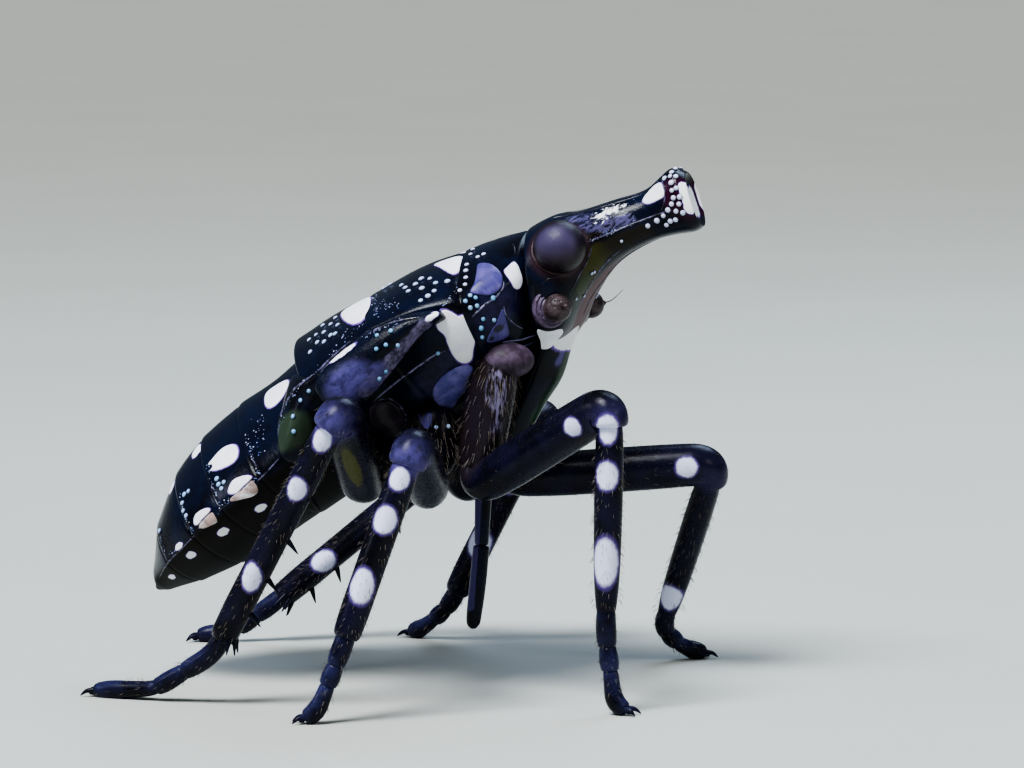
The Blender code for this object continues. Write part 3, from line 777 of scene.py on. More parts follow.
def make_trunk():
    paint = shell("thorax_shell")
    # painted reflection: navy laid over the upper side, for the blue sky in the glossy shell
    paint.lay(paint.step(paint.w, 0.1, 0.7) * 0.5, NAVY)
    # painted sky reflection in lilac on the sides of the thorax
    paint.sky_sheen(0.22, ((0.30, 1.15, -0.62), (0.50, 0.30, 0.30)), ((1.35, 1.05, -0.30), (0.40, 0.30, 0.30)))
    wrinkles = paint.noise(paint.at, (14.0, 4.0, 5.0))
    paint.height = paint.height + wrinkles * paint.step(paint.w, -0.25, -0.6) * 1.5
    paint.wax(paint.patches(paint.uneven, PRONOTUM_WHITE))
    body = paint.close(0.000009, 0.5, 0.11)
    tables = {"prothorax": PROTHORAX, "mesothorax": MESOTHORAX, "metathorax": METATHORAX}
    shells = {name: thorax_shell(name + "_shell", table) for name, table in tables.items()}
    trees = {name: surface(piece.data) for name, piece in shells.items()}
    trees["thorax"] = surface(*[piece.data for piece in shells.values()])
    rows = PROTHORAX + MESOTHORAX[1:] + METATHORAX[1:]
    envelope = skin("envelope", [trunk_ring(u, tilt, section, 0.022) for u, tilt, *section in rows])
    trees["envelope"] = surface(envelope.data)
    bpy.data.objects.remove(envelope, do_unlink=True)
    shapes = [piece.data.copy() for piece in shells.values()]
    for name, piece in shells.items():
        finish(piece, body, "thorax", name)
    return trees, shapes


def make_abdomen():
    paint = shell("abdomen_shell")
    # painted reflection: navy laid over the upper side, for the blue sky in the glossy shell
    paint.lay(paint.step(paint.w, -0.1, 0.5) * 0.6, NAVY)
    paint.lay(paint.step(paint.w, -0.24, -0.34) * 0.95, (0.005, 0.004, 0.003), 0.58)
    paint.wax(paint.patches(paint.uneven, *WHITES_ABDOMEN))
    back = paint.close(0.000009, 0.5, 0.11)
    shells = [abdomen_shell(number) for number in range(len(ABDOMEN_CUTS) - 1)]
    tree = surface(*[piece.data for piece in shells])
    for number, piece in enumerate(shells):
        finish(piece, back, "abdomen", "abdomen_%d" % (number + 1))
    return tree


# Head: each ring runs from a point on its back edge line to one on its face line
HEAD = (
    # top u, top w, face u, face w, half width, squareness
    (2.24, 0.38, 1.46, -1.05, 0.92, 2.6),
    (2.46, 0.35, 1.67, -1.10, 0.98, 2.6),
    (2.68, 0.29, 1.95, -1.04, 0.95, 2.6),
    (2.87, 0.17, 2.25, -0.87, 0.82, 2.5),
    (3.10, 0.08, 2.58, -0.76, 0.62, 2.3),
    (3.39, -0.02, 2.99, -0.69, 0.44, 2.1),
    (3.73, -0.15, 3.45, -0.76, 0.36, 2.1),
    (3.97, -0.14, 3.74, -0.88, 0.36, 2.2),
    (4.23, -0.13, 3.96, -1.00, 0.40, 2.4),
    (4.34, -0.28, 4.08, -1.01, 0.36, 2.4),
)
HEAD_SIDES = 32
# Rings that round off the tip of the snout: size, and how far ahead
SNOUT_TIP = ((0.97, 0.012), (0.92, 0.008), (0.82, -0.02), (0.6, -0.035), (0.3, -0.03))
# Eyes: round lenses sunk a little under the brow, in a raised rim
LENS_AT = Vector((2.54, 0.92, -0.165))
LENS_RADIUS = 0.355
RIM_STEPS = 28
RIM_RADIUS = 0.036
RIM_FROM_LENS = LENS_RADIUS * 1.02


def head_ring(top_u, top_w, face_u, face_w, half_width, square, scale=1.0, ahead=0.0):
    top = Vector((top_u, 0.0, top_w))
    face = Vector((face_u, 0.0, face_w))
    middle = (top + face) / 2.0
    along = (top - face).cross(Vector((0.0, 1.0, 0.0))).normalized()
    ring = []
    for c, s in circle(HEAD_SIDES):
        up = math.copysign(abs(c) ** (2.0 / square), c) * scale
        out = math.copysign(abs(s) ** (2.0 / square), s) * scale
        ring.append(middle + (top - middle) * up + Vector((0.0, -half_width * out, 0.0)) - along * ahead)
    return ring


def make_head():
    rings = [head_ring(*HEAD[0], scale=0.9)]
    rings += [head_ring(*row) for row in rows_through(HEAD)]
    rings += [head_ring(*HEAD[-1], scale=scale, ahead=ahead) for scale, ahead in SNOUT_TIP]
    head = skin("head_skin", rings)
    tree = surface(head.data)
    head = merged("head_skin", [head] + [eye_rim(tree, side) for _, side in SIDES])
    shape = head.data.copy()
    finish(head, head_finish(), "head", "head")
    return tree, shape


def eye_rim(tree, side):
    """The raised collar of the head round an eye."""
    centre = on_side(LENS_AT, side)
    line = []
    for c, s in circle(RIM_STEPS):
        place = centre + Vector((c, 0.0, s)) * LENS_RADIUS
        place.y -= side * 0.12
        spot = settle_on(tree, place)[0]
        away = spot - centre
        line.append(centre + away.normalized() * RIM_FROM_LENS if away.length < RIM_FROM_LENS else spot)
    return skin("eye_rim", tube_rings(line + line[:1], [RIM_RADIUS] * (RIM_STEPS + 1), 8), 1)


def head_finish():
    """Navy painted above as a reflection of the sky, olive beside the face, brown-pink on it, lilac wrinkles
    before the eye.
    """
    paint = shell("head_shell")
    place, shaken, uneven = paint.at, paint.shaken, paint.uneven
    # painted reflection: navy over the upper side of the head, for the blue sky in the glossy shell
    paint.lay(paint.step(paint.w, -0.30, 0.10) * 0.75, NAVY)
    paint.tint(BROWN, paint.patches(place, ((2.42, 0.0, -0.92), (0.85, 0.40, 0.30))), 0.85, 0.55)
    olive = paint.rods(shaken, ((2.84, 0.52, -0.52), (2.42, 0.52, -0.74), 0.17),
                       ((2.95, 0.42, -0.50), (3.45, 0.32, -0.62), 0.11))
    paint.tint(paint.mix(paint.step(paint.u, 2.75, 3.05), OLIVE, (0.012, 0.009, 0.005)), olive, 0.9, 0.26)
    # painted green light on the lower side of the face
    paint.tint(GREEN_LIGHT, paint.rods(shaken, ((2.45, 0.55, -0.72), (2.10, 0.60, -0.92), 0.16)), 0.45)
    folds = paint.step(paint.noise(place, (7.0, 9.0, 26.0), 4.0, 0.65), 0.40, 0.60)
    brow = paint.rods(shaken, ((2.88, 0.58, 0.02), (3.10, 0.48, -0.22), 0.16),
                      ((3.05, 0.50, -0.25), (3.42, 0.40, -0.37), 0.09),
                      ((2.60, 0.80, 0.22), (2.88, 0.60, 0.06), 0.08))
    share = paint.step(brow, 1.2, 0.6) * paint.step(folds, 0.0, 1.0, 0.05, 0.80)
    paint.lay(share, (0.100, 0.088, 0.215), 0.26, 1.2)
    paint.tint((0.005, 0.003, 0.004), paint.rods(place, ((2.88, 0.60, -0.27), (3.0, 0.56, -0.34), 0.06)))
    paint.tint(MAGENTA, paint.patches(shaken, ((4.12, 0.36, -0.56), (0.22, 0.30, 0.34))), 0.8)
    paint.tint((0.040, 0.018, 0.022), paint.far(place, LENS_AT) * (1.0 / 0.44), 0.9, 0.28)
    flecked = paint.rods(uneven, ((3.10, 0.44, -0.12), (3.44, 0.34, -0.13), 0.11))
    breaks = paint.noise(place, (11.0, 11.0, 26.0), 5.0, 0.75)
    broken = paint.step(breaks - flecked * 0.17, 0.415, 0.435)
    paint.lay(broken * paint.step(flecked, 1.25, 1.0), WAX, 0.40, 1.0)
    paint.wax(paint.rods(uneven, ((4.25, 0.35, -0.47), (4.15, 0.38, -0.77), 0.075),
                         ((4.28, 0.08, -0.60), (4.21, 0.08, -0.76), 0.150)))
    specks = paint.step(paint.cells(place, 20.0), 0.15, 0.10) * paint.step(paint.w, -0.45, -0.20)
    along = paint.step(paint.u, 3.3, 3.6) * paint.step(paint.u, 4.05, 3.95)
    paint.lay(specks * along * 0.8, (0.30, 0.36, 0.75))
    return paint.close(0.000010, 0.55, 0.13)


def make_eyes():
    paint = Paint("eye_lens")
    place = paint.place(False)
    cloud = paint.noise(place, 3.0, 3.0, 0.5)
    # painted light: the lens is lit lilac towards its top and shaded near black towards its bottom, by its
    # height in the frame
    level = paint.parts(place)[2] - (TURN @ LENS_AT + BODY_AT).z + (cloud - 0.5) * 0.14
    colour = paint.mix(paint.step(level, -0.24, 0.04), (0.005, 0.002, 0.003), (0.022, 0.012, 0.021))
    colour = paint.mix(paint.step(level, -0.08, 0.26), colour, (0.046, 0.035, 0.085))
    # painted shade: the lens darkens round its edge, where it sinks into its socket
    offset = paint.vector("SUBTRACT", paint.both_sides(paint.place())[0], LENS_AT)
    out = paint.length(paint.vector("MULTIPLY", offset, (1.0, 0.0, 1.0)))
    colour = paint.mix(paint.step(out, 0.22, 0.34), colour, (0.007, 0.003, 0.006))
    facets = paint.cells(place, 46.0, "DISTANCE_TO_EDGE")
    paint.start(colour, cloud, 0.30, 0.40, paint.step(facets, 0.0, 0.25))
    lens = paint.close(0.000004, 0.35, 0.25)
    radii = (LENS_RADIUS, LENS_RADIUS * 0.98, LENS_RADIUS)
    for word, side in SIDES:
        eye = ball("eye_lens_" + word, on_side(LENS_AT, side), radii, segments=32)
        finish(eye, lens, "eye", "eye_" + word)


# Antennae: a ringed collar that carries a pitted knob with a fine bristle
ANTENNA_AT = Vector((1.93, 0.85, -0.73))
ANTENNA_LEAN = Vector((0.60, 0.72, -0.34)).normalized()
COLLAR_PROFILE = (
    # height along the antenna, radius
    (-0.14, 0.20), (-0.06, 0.25), (0.00, 0.262), (0.03, 0.25), (0.035, 0.228), (0.02, 0.214),
    (0.03, 0.200), (0.055, 0.198), (0.062, 0.180), (0.045, 0.168), (0.055, 0.155), (0.08, 0.150),
    (0.09, 0.12), (0.09, 0.06),
)
COLLAR_SIDES = 28
KNOB_HEIGHT = 0.20
KNOB_RADIUS = 0.19


def collar_round(centre, axis):
    """A turned shape from the collar's profile of heights and radii."""
    turn = facing(axis)
    rings = [[centre + turn @ Vector((radius * c, radius * s, height)) for c, s in circle(COLLAR_SIDES)]
             for height, radius in COLLAR_PROFILE]
    return skin("collar", rings, 1)


def make_antennae():
    paint = Paint("antenna_shell")
    place = paint.both_sides(paint.place())[0]
    pits = paint.cells(place, 17.0)
    cloud = paint.noise(place, 8.0)
    colour = paint.mix(paint.step(cloud, 0.35, 0.7), (0.022, 0.013, 0.015), (0.070, 0.048, 0.052))
    height = paint.vector("DOT_PRODUCT", paint.vector("SUBTRACT", place, ANTENNA_AT), ANTENNA_LEAN, 1)
    out = paint.far(place, ANTENNA_AT + ANTENNA_LEAN * KNOB_HEIGHT)
    collar_colour = paint.mix(paint.step(cloud, 0.3, 0.7), (0.050, 0.032, 0.055), (0.120, 0.085, 0.150))
    on_collar = paint.step(out, KNOB_RADIUS * 1.02, KNOB_RADIUS * 1.10) * paint.step(height, 0.14, 0.12)
    paint.start(paint.mix(on_collar, colour, collar_colour), cloud, 0.30, 0.48, paint.step(pits, 0.05, 0.45))
    paint.lay(paint.step(pits, 0.30, 0.12) * 0.5, (0.02, 0.012, 0.018))
    shell_of_antenna = paint.close(0.000014, 0.7, 0.3)
    for word, side in SIDES:
        base, axis = on_side(ANTENNA_AT, side), on_side(ANTENNA_LEAN, side)
        collar = collar_round(base, axis)
        knob_at = base + axis * KNOB_HEIGHT
        knob = ball("knob", knob_at, (KNOB_RADIUS,) * 3, segments=20)
        tip = knob_at + axis * KNOB_RADIUS
        bulb = ball("bulb", tip, (0.045, 0.045, 0.06), facing(axis), 12)
        end = tip + axis * 0.34 + Vector((0.10, 0.0, 0.12))
        line = curve_through([tip, tip + axis * 0.16 + Vector((0.02, 0.0, 0.02)), end], 5)
        radii = [0.013 - 0.010 * k / (len(line) - 1) for k in range(len(line))]
        bristle = skin("bristle", tube_rings(line, radii, 6), 1)
        antenna = merged("antenna_whole_" + word, [collar, knob, bulb, bristle])
        finish(antenna, shell_of_antenna, "antenna", "antenna_" + word)


# Face shield: front point, back point, half width; the ring is keeled in front
CLYPEUS = (
    (1.99, -1.03, 1.38, -1.00, 0.52),
    (1.73, -1.19, 1.18, -1.12, 0.50),
    (1.36, -1.46, 0.88, -1.26, 0.42),
    (0.96, -1.60, 0.63, -1.40, 0.34),
    (0.52, -1.79, 0.31, -1.55, 0.26),
    (0.06, -1.96, -0.07, -1.72, 0.19),
    (-0.34, -2.10, -0.46, -1.90, 0.15),
    (-0.50, -2.16, -0.58, -2.02, 0.11),
)
KEELED = ((0.0, 0.0), (0.05, 0.16), (0.10, 0.34), (0.22, 0.55), (0.35, 0.72), (0.52, 0.90), (0.70, 1.0),
          (0.88, 0.95), (1.0, 0.80), (1.06, 0.4))
BEAK = ((-0.40, -1.98), (-0.90, -2.59), (-1.27, -2.99), (-1.58, -3.31), (-1.66, -3.42))
BEAK_TIP_RADII = (0.112, 0.118, 0.112, 0.098, 0.03)


def keeled_ring(front_u, front_w, back_u, back_w, half_width):
    front = Vector((front_u, 0.0, front_w))
    back = Vector((back_u, 0.0, back_w))
    halves = [(share, -width) for share, width in KEELED] + [(1.08, 0.0), *reversed(KEELED[1:])]
    return [front.lerp(back, share) + Vector((0.0, half_width * width, 0.0)) for share, width in halves]


def make_mouth(head_shape):
    paint = shell("face_shield_shell", 0.15)
    # painted green light along the front keel of the face shield
    paint.tint(GREEN_LIGHT, paint.rods(paint.at, ((1.85, 0.0, -1.25), (0.75, 0.0, -1.62), 0.17)), 0.9)
    # painted highlight: a lilac streak on the face shield
    lilac = paint.rods(paint.shaken, ((1.62, 0.20, -1.20), (1.50, 0.24, -1.30), 0.075))
    paint.lay(paint.step(lilac, 1.3, 0.3) * 0.7, LILAC, 0.30)
    paint.wax(paint.patches(paint.uneven, ((1.80, 0.0, -1.10), (0.30, 0.60, 0.15))))
    face = paint.close(0.000009, 0.5, 0.13)
    shield = skin("face_shield", [keeled_ring(*row) for row in rows_through(CLYPEUS)])
    tree = surface(shield.data, head_shape)
    finish(shield, face, "mouthparts", "clypeus")
    points = [Vector((u, 0.0, w)) for u, w in BEAK]
    upper = curve_through(points[:2], 8)
    lower = curve_through(points[1:], 6)
    upper_radii = [0.125 - 0.03 * k / (len(upper) - 1) for k in range(len(upper))]
    first = skin("beak_first", tube_rings(upper, upper_radii, 14))
    second = skin("beak_second", tube_rings(lower, tapered(BEAK_TIP_RADII, len(lower)), 14))
    paint = shell("beak_shell", 0.24)
    sheen = paint.rods(paint.at, ((-0.40, 0.10, -1.90), (-1.50, 0.09, -3.15), 0.07))
    paint.tint(LILAC, sheen, 0.35, 0.40)
    beak = paint.close(0.000009, 0.5, 0.12)
    finish(first, beak, "mouthparts", "beak_upper")
    finish(second, beak, "mouthparts", "beak_lower")
    return tree


# Wing pads, repeated from the solids
FORE_PAD = (
    # u, upper w, lower w, inner v, outer v
    (0.87, 0.07, -0.08, 1.30, 1.66),
    (0.48, 0.28, -0.06, 1.30, 1.86),
    (-0.02, 0.41, -0.21, 1.35, 1.97),
    (-0.47, 0.40, -0.33, 1.45, 2.03),
    (-0.81, 0.34, -0.27, 1.74, 2.05),
    (-1.03, 0.21, -0.09, 1.82, 1.98),
)
HIND_PAD = (
    # u, highest angle, lowest angle, thickness
    (-0.74, 88.0, 108.0, 0.06),
    (-1.02, 84.0, 112.0, 0.17),
    (-1.18, 76.0, 114.0, 0.20),
    (-1.36, 47.0, 114.0, 0.22),
    (-1.54, 54.0, 114.0, 0.23),
    (-1.75, 62.0, 113.0, 0.21),
    (-1.92, 72.0, 111.0, 0.16),
    (-2.03, 88.0, 104.0, 0.08),
)
HIND_PAD_BED = (
    (-2.10, 0.91, 1.46, -0.15, -0.96),
    (-1.85, 0.90, 1.42, -0.12, -0.98),
    (-1.54, 0.94, 1.38, 0.02, -1.02),
    (-1.36, 0.99, 1.36, 0.14, -1.06),
    (-1.18, 1.08, 1.42, 0.32, -1.10),
    (-0.70, 1.10, 1.54, 0.38, -1.20),
)
PAD_SIDES = 20
PAD_COLUMNS = 9


def bed_at(u):
    for low, high in zip(HIND_PAD_BED, HIND_PAD_BED[1:]):
        if u <= high[0]:
            share = (u - low[0]) / (high[0] - low[0])
            return [a + (b - a) * share for a, b in zip(low[1:], high[1:])]
    return HIND_PAD_BED[-1][1:]


def fore_pad(side):
    rings = []
    for u, upper, lower, inner, outer in rows_through(FORE_PAD):
        v, half = (inner + outer) / 2.0, (outer - inner) / 2.0
        w, thick = (upper + lower) / 2.0, (upper - lower) / 2.0
        rings.append([Vector((u, side * (v + half * s), w + thick * c)) for c, s in circle(PAD_SIDES)])
    return skin("fore_pad", rings)


def hind_pad(side):
    rings = []
    for u, high, low, thick in HIND_PAD:
        bed = bed_at(u)
        outer, inner = [], []
        for k in range(PAD_COLUMNS):
            share = k / (PAD_COLUMNS - 1)
            angle = high + (low - high) * share
            swell = thick * math.sin(math.pi * (0.12 + 0.76 * share))
            v, w = section_point(bed, angle, 0.05 + swell)
            outer.append(Vector((u, side * v, w)))
            v, w = section_point(bed, angle, -0.02)
            inner.append(Vector((u, side * v, w)))
        rings.append(outer + inner[::-1])
    return skin("hind_pad", rings)


def make_pads():
    paint = shell("fore_pad_shell", 0.24)
    # painted reflection: navy laid over the upper side of the pad, for the blue sky in the glossy shell
    paint.lay(paint.step(paint.w, 0.0, 0.35) * 0.6, NAVY)
    band = paint.rods(paint.shaken, ((0.60, 1.74, -0.03), (-0.45, 1.92, -0.24), 0.125))
    mottled = paint.step(paint.noise(paint.at, 9.0, 4.0, 0.7), 0.35, 0.65)
    paint.tint(paint.mix(mottled, (0.036, 0.028, 0.060), (0.200, 0.170, 0.300)), band, 0.9, 0.36)
    # painted sky reflection in lilac near the outer end of the fore pad
    paint.sky_sheen(0.9, ((-0.58, 2.00, -0.02), (0.36, 0.30, 0.26)), ((-0.30, 1.98, -0.16), (0.26, 0.24, 0.16)))
    paint.wax(paint.patches(paint.uneven, ((-0.45, 1.86, 0.35), (0.22, 0.12, 0.042)),
                            ((0.77, 1.69, 0.04), (0.11, 0.12, 0.045))))
    paint.height = paint.height + paint.noise(paint.at, (3.0, 12.0, 14.0)) * 2.0
    fore = paint.close(0.000010, 0.6, 0.13)
    paint = shell("hind_pad_shell", 0.20)
    lobe = paint.patches(paint.shaken, ((-1.72, 1.56, 0.0), (0.34, 0.40, 0.24)))
    paint.tint((0.026, 0.042, 0.026), lobe, 0.95, 0.28)
    hind = paint.close(0.000010, 0.5, 0.14)
    trees = []
    for word, side in SIDES:
        first, second = fore_pad(side), hind_pad(side)
        first.name = "fore_pad_" + word
        second.name = "hind_pad_" + word
        trees.append(surface(first.data, second.data))
        finish(first, fore, "wing_pad", "fore_wing_pad_" + word)
        finish(second, hind, "wing_pad", "hind_wing_pad_" + word)
    return trees


# Granules: shell, radius, tone from white to cyan, and marks
GRANULES = (
    ("head", 0.039, 0.0, ((426, 16, -20), (422, 26, -21), (418, 31, -24), (423, 30, -30), (410, 28, -22),
        (415, 36, -33), (410, 38, -42), (416, 37, -43), (406, 39, -51), (413, 38, -55), (399, 38, -56),
        (407, 39, -62), (390, 37, -59), (398, 38, -67), (380, 35, -61), (369, 35, -61), (383, 33, -72),
        (390, 34, -75), (404, 38, -74), (355, 34, -59), (375, 31, -73))),
    ("head", 0.026, 0.2, ((225, 60, -82), (232, 40, -83), (260, 51, -66), (263, 47, -66), (315, 37, -54))),
    ("prothorax", 0.036, 0.1, ((160, 63, 41), (152, 67, 42), (137, 82, 41), (134, 96, 33), (131, 109, 24),
        (127, 120, 16), (118, 128, 12), (142, 50, 50), (144, 30, 55))),
    ("prothorax", 0.036, 0.9, ((126, 131, -1), (116, 135, -4), (125, 130, -16), (130, 130, -7),
        (117, 135, -13), (147, 119, -20), (120, 123, -34), (129, 112, -43), (110, 121, -41),
        (103, 116, -51))),
    ("mesothorax", 0.041, 0.3, ((89, 99, 53), (109, 114, 34), (77, 120, 46), (90, 129, 32), (81, 137, 31),
        (70, 141, 30), (70, 104, 58), (60, 118, 56), (19, 45, 88), (28, 39, 88), (50, 86, 70), (56, 103, 63),
        (78, 92, 60), (95, 114, 42))),
    ("metathorax", 0.040, 0.4, ((-54, 61, 94), (-60, 80, 90), (-75, 57, 97), (-48, 101, 79), (-71, 92, 84),
        (-85, 78, 90), (-60, 117, 73), (-53, 121, 69), (-97, 76, 90), (-72, 118, 70), (-83, 105, 76),
        (-97, 112, 72))),
    ("abdomen", 0.040, 0.6, ((-298, 127, 12), (-299, 133, 4), (-298, 138, -3), (-291, 137, 3),
        (-347, 99, 26), (-355, 95, 26), (-363, 99, 18), (-366, 106, 8), (-365, 113, 0), (-422, 56, 12),
        (-428, 52, 3), (-429, 64, -6))),
    ("pads", 0.036, 0.95, ((7, 190, 25), (25, 188, 18), (10, 194, 8), (21, 188, -1), (-3, 196, 11),
        (-13, 186, -19), (-25, 189, -22), (-134, 161, 23), (-117, 165, 26), (-166, 165, -4),
        (-155, 162, 12))),
    ("thorax", 0.036, 0.95, ((46, 131, -34),)),
    ("hips", 0.032, 0.5, ((-20, 108, -108), (-8, 98, -116))),
)
# Fine raised lines: shell, tone from dark to silver, radius and marks
LINES = (
    ("head", 0.45, 0.013, ((280, 66, -30), (295, 57, -34), (315, 46, -39), (344, 38, -46), (383, 36, -58),
        (398, 37, -66))),
    ("head", 0.3, 0.018, ((291, 60, -36), (275, 64, -47), (263, 68, -56), (246, 72, -63), (230, 75, -71),
        (222, 76, -78))),
    ("head", 0.5, 0.016, ((308, 30, -65), (292, 34, -67), (274, 39, -70), (250, 40, -78), (230, 40, -86),
        (205, 46, -96))),
    ("head", 0.35, 0.013, ((409, 0, -12), (409, 14, -13), (405, 26, -21), (403, 34, -31), (397, 36, -42),
        (390, 36, -49), (379, 36, -55))),
    ("head", 0.1, 0.016, ((230, 42, 36), (262, 50, 26), (290, 42, 12), (320, 30, 2), (360, 22, -10),
        (395, 24, -14))),
    ("head", 0.15, 0.014, ((197, 96, -34), (184, 93, -50), (172, 86, -68), (164, 80, -83))),
    ("head", 0.2, 0.012, ((242, 76, -56), (232, 86, -48), (218, 95, -42), (204, 98, -42))),
    ("prothorax", 0.55, 0.018, ((170, 103, -7), (162, 109, -17), (148, 117, -21), (133, 124, -21),
        (120, 130, -23), (110, 134, -25))),
    ("prothorax", 0.9, 0.016, ((114, 90, -70), (122, 78, -74), (133, 60, -80), (144, 45, -83),
        (150, 30, -85))),
    ("prothorax", 0.8, 0.014, ((118, 70, -81), (130, 46, -88), (144, 26, -91))),
    ("prothorax", 0.6, 0.013, ((150, 106, -34), (144, 100, -46), (143, 84, -62), (146, 66, -74))),
    ("prothorax", 0.3, 0.009, ((196, 45, 30), (197, 62, 20), (193, 72, 12))),
    ("prothorax", 0.3, 0.009, ((176, 94, -24), (170, 94, -32), (163, 93, -38))),
    ("pads", 0.35, 0.026, ((84, 162, 4), (62, 176, 12), (37, 179, 26), (12, 181, 34), (-12, 184, 38))),
    ("pads", 0.35, 0.020, ((-68, 188, 34), (-85, 190, 26))),
    ("metathorax", 0.5, 0.022, ((-20, 152, 46), (-60, 152, 46), (-85, 148, 44), (-112, 142, 38))),
    ("pads", 0.5, 0.024, ((-90, 155, 42), (-115, 162, 42), (-136, 150, 44), (-155, 142, 38), (-175, 136, 26),
        (-190, 142, 10), (-198, 147, -6))),
    ("thorax", 0.65, 0.018, ((60, 128, -40), (42, 131, -34), (24, 132, -33), (-1, 132, -32), (-27, 131, -32),
        (-50, 129, -32), (-70, 126, -34))),
    ("thorax", 0.45, 0.016, ((-71, 125, -33), (-50, 124, -38), (-42, 113, -52), (-48, 96, -72),
        (-66, 81, -84))),
    ("abdomen", 0.40, 0.012, ((-205, 145, -17), (-232, 150, -23), (-252, 150, -25))),
    ("abdomen", 0.40, 0.012, ((-298, 146, -24), (-320, 140, -24))),
    ("abdomen", 0.40, 0.012, ((-360, 126, -26), (-390, 110, -28), (-425, 87, -29), (-450, 66, -31),
        (-472, 42, -35))),
)
# The same on the middle line of the body
MIDDLE_LINES = (
    ("head", 0.2, 0.016, ((235, 0, 38), (290, 0, 17), (350, 0, -5), (400, 0, -13))),
    ("head", 0.4, 0.016, ((360, 0, -72), (300, 0, -70), (240, 0, -84), (195, 0, -105))),
    ("prothorax", 0.15, 0.018, ((205, 0, 40), (170, 0, 52), (142, 0, 62))),
    ("mesothorax", 0.15, 0.020, ((125, 0, 70), (60, 0, 88), (0, 0, 99))),
    ("metathorax", 0.15, 0.020, ((-15, 0, 99), (-60, 0, 109), (-115, 0, 113))),
)
# Rows of tiny silvery dots: shell, number, spread, and marks
DOT_ROWS = (
    ("head", 30, 0.030, ((286, 62, -31), (300, 54, -35), (315, 46, -38), (344, 38, -45))),
    ("mesothorax", 46, 0.070, ((3, 55, 88), (5, 85, 78), (10, 115, 66), (12, 140, 53))),
    ("mesothorax", 26, 0.090, ((25, 115, 65), (30, 132, 55), (50, 143, 42))),
    ("mesothorax", 18, 0.030, ((122, 114, 27), (114, 130, 17), (102, 140, 12), (92, 145, 8))),
    ("metathorax", 30, 0.045, ((-10, 136, 55), (-30, 145, 52), (-70, 147, 47), (-110, 140, 40))),
    ("metathorax", 26, 0.040, ((-12, 110, 70), (-28, 125, 64), (-45, 136, 56))),
    ("pads", 34, 0.050, ((40, 180, 22), (12, 183, 30), (-12, 186, 34))),
    ("pads", 36, 0.050, ((-100, 160, 40), (-130, 156, 40), (-160, 144, 33), (-190, 144, 8))),
    ("abdomen", 40, 0.030, ((-236, 105, 38), (-238, 125, 20), (-240, 142, 0), (-241, 149, -20))),
    ("abdomen", 30, 0.120, ((-215, 95, 45), (-222, 120, 24), (-228, 138, 2))),
    ("abdomen", 34, 0.030, ((-306, 100, 34), (-308, 120, 18), (-309, 138, -2), (-310, 143, -22))),
    ("abdomen", 26, 0.030, ((-366, 82, 34), (-367, 100, 18), (-368, 115, -2), (-369, 122, -22))),
    ("abdomen", 40, 0.040, ((-250, 148, -20), (-300, 144, -22), (-350, 129, -23), (-420, 90, -24))),
    ("abdomen", 18, 0.030, ((-426, 50, 20), (-428, 70, 2), (-430, 82, -20))),
)
GRANULE_LIFT = 0.10
GRANULE_SEED = 7


def toned_finish(name, dark, blue, white, rough):
    """A finish that follows each piece's own tone: height on the piece, then its colour."""
    paint = Paint(name)
    crown, tint = paint.tone()
    cloud = paint.noise(paint.place(), 30.0)
    share = paint.step(crown + (cloud - 0.5) * 0.3, 0.05, 0.62)
    paint.start(paint.mix(share, dark, paint.mix(tint, white, blue)), cloud, rough * 0.8, rough * 1.2)
    return paint.close(0.000007, 0.5, 0.5)


def small_dome(detail, flat):
    bpy.ops.mesh.primitive_ico_sphere_add(subdivisions=detail, radius=1.0)
    stretch((1.0, 1.0, flat))
    return bpy.context.object


def seat(spot, normal, size):
    """Where a small shape of some size stands upright on a skin."""
    return Matrix.Translation(spot) @ facing(normal).to_4x4() @ Matrix.Scale(size, 4)


def tree_for(trees, where, side):
    found = trees[where]
    return found[0 if side < 0 else 1] if isinstance(found, list) else found


def make_granules(trees):
    """Waxy domes sunk a third into the skin, and rows of much finer dots."""
    draw = random.Random(GRANULE_SEED)
    places, tones = [], []
    for where, radius, tone, marks in GRANULES:
        for mark in marks:
            for _, side in SIDES:
                spot, normal = settle_on(tree_for(trees, where, side), marks_on(side, [mark])[0])
                size = radius * draw.uniform(0.88, 1.12)
                places.append(seat(spot + normal * size * GRANULE_LIFT, normal, size))
                tones.append(min(1.0, max(0.0, tone + draw.uniform(-0.15, 0.15))))
    wax = toned_finish("granule_wax", (0.010, 0.012, 0.040), (0.16, 0.42, 0.72), (0.66, 0.68, 0.90), 0.30)
    finish(strewn("wax_granules", small_dome(2, 0.78), places, tones), wax, "thorax")
    places, tones = [], []
    for where, count, spread_by, marks in DOT_ROWS:
        for _, side in SIDES:
            tree = tree_for(trees, where, side)
            line = curve_through(marks_on(side, marks), 8)
            for _ in range(count):
                place = line[draw.randrange(len(line))].copy()
                place += Vector([draw.gauss(0.0, spread_by * 0.6) for _ in range(3)])
                spot, normal = settle_on(tree, place)
                places.append(seat(spot, normal, 0.006 + 0.010 * draw.random() ** 2))
                tones.append(draw.random() ** 1.5)
    wax = toned_finish("dot_wax", (0.02, 0.03, 0.08), (0.10, 0.18, 0.45), (0.60, 0.62, 0.85), 0.35)
    finish(strewn("fine_wax_dots", small_dome(1, 0.6), places, tones), wax, "thorax")


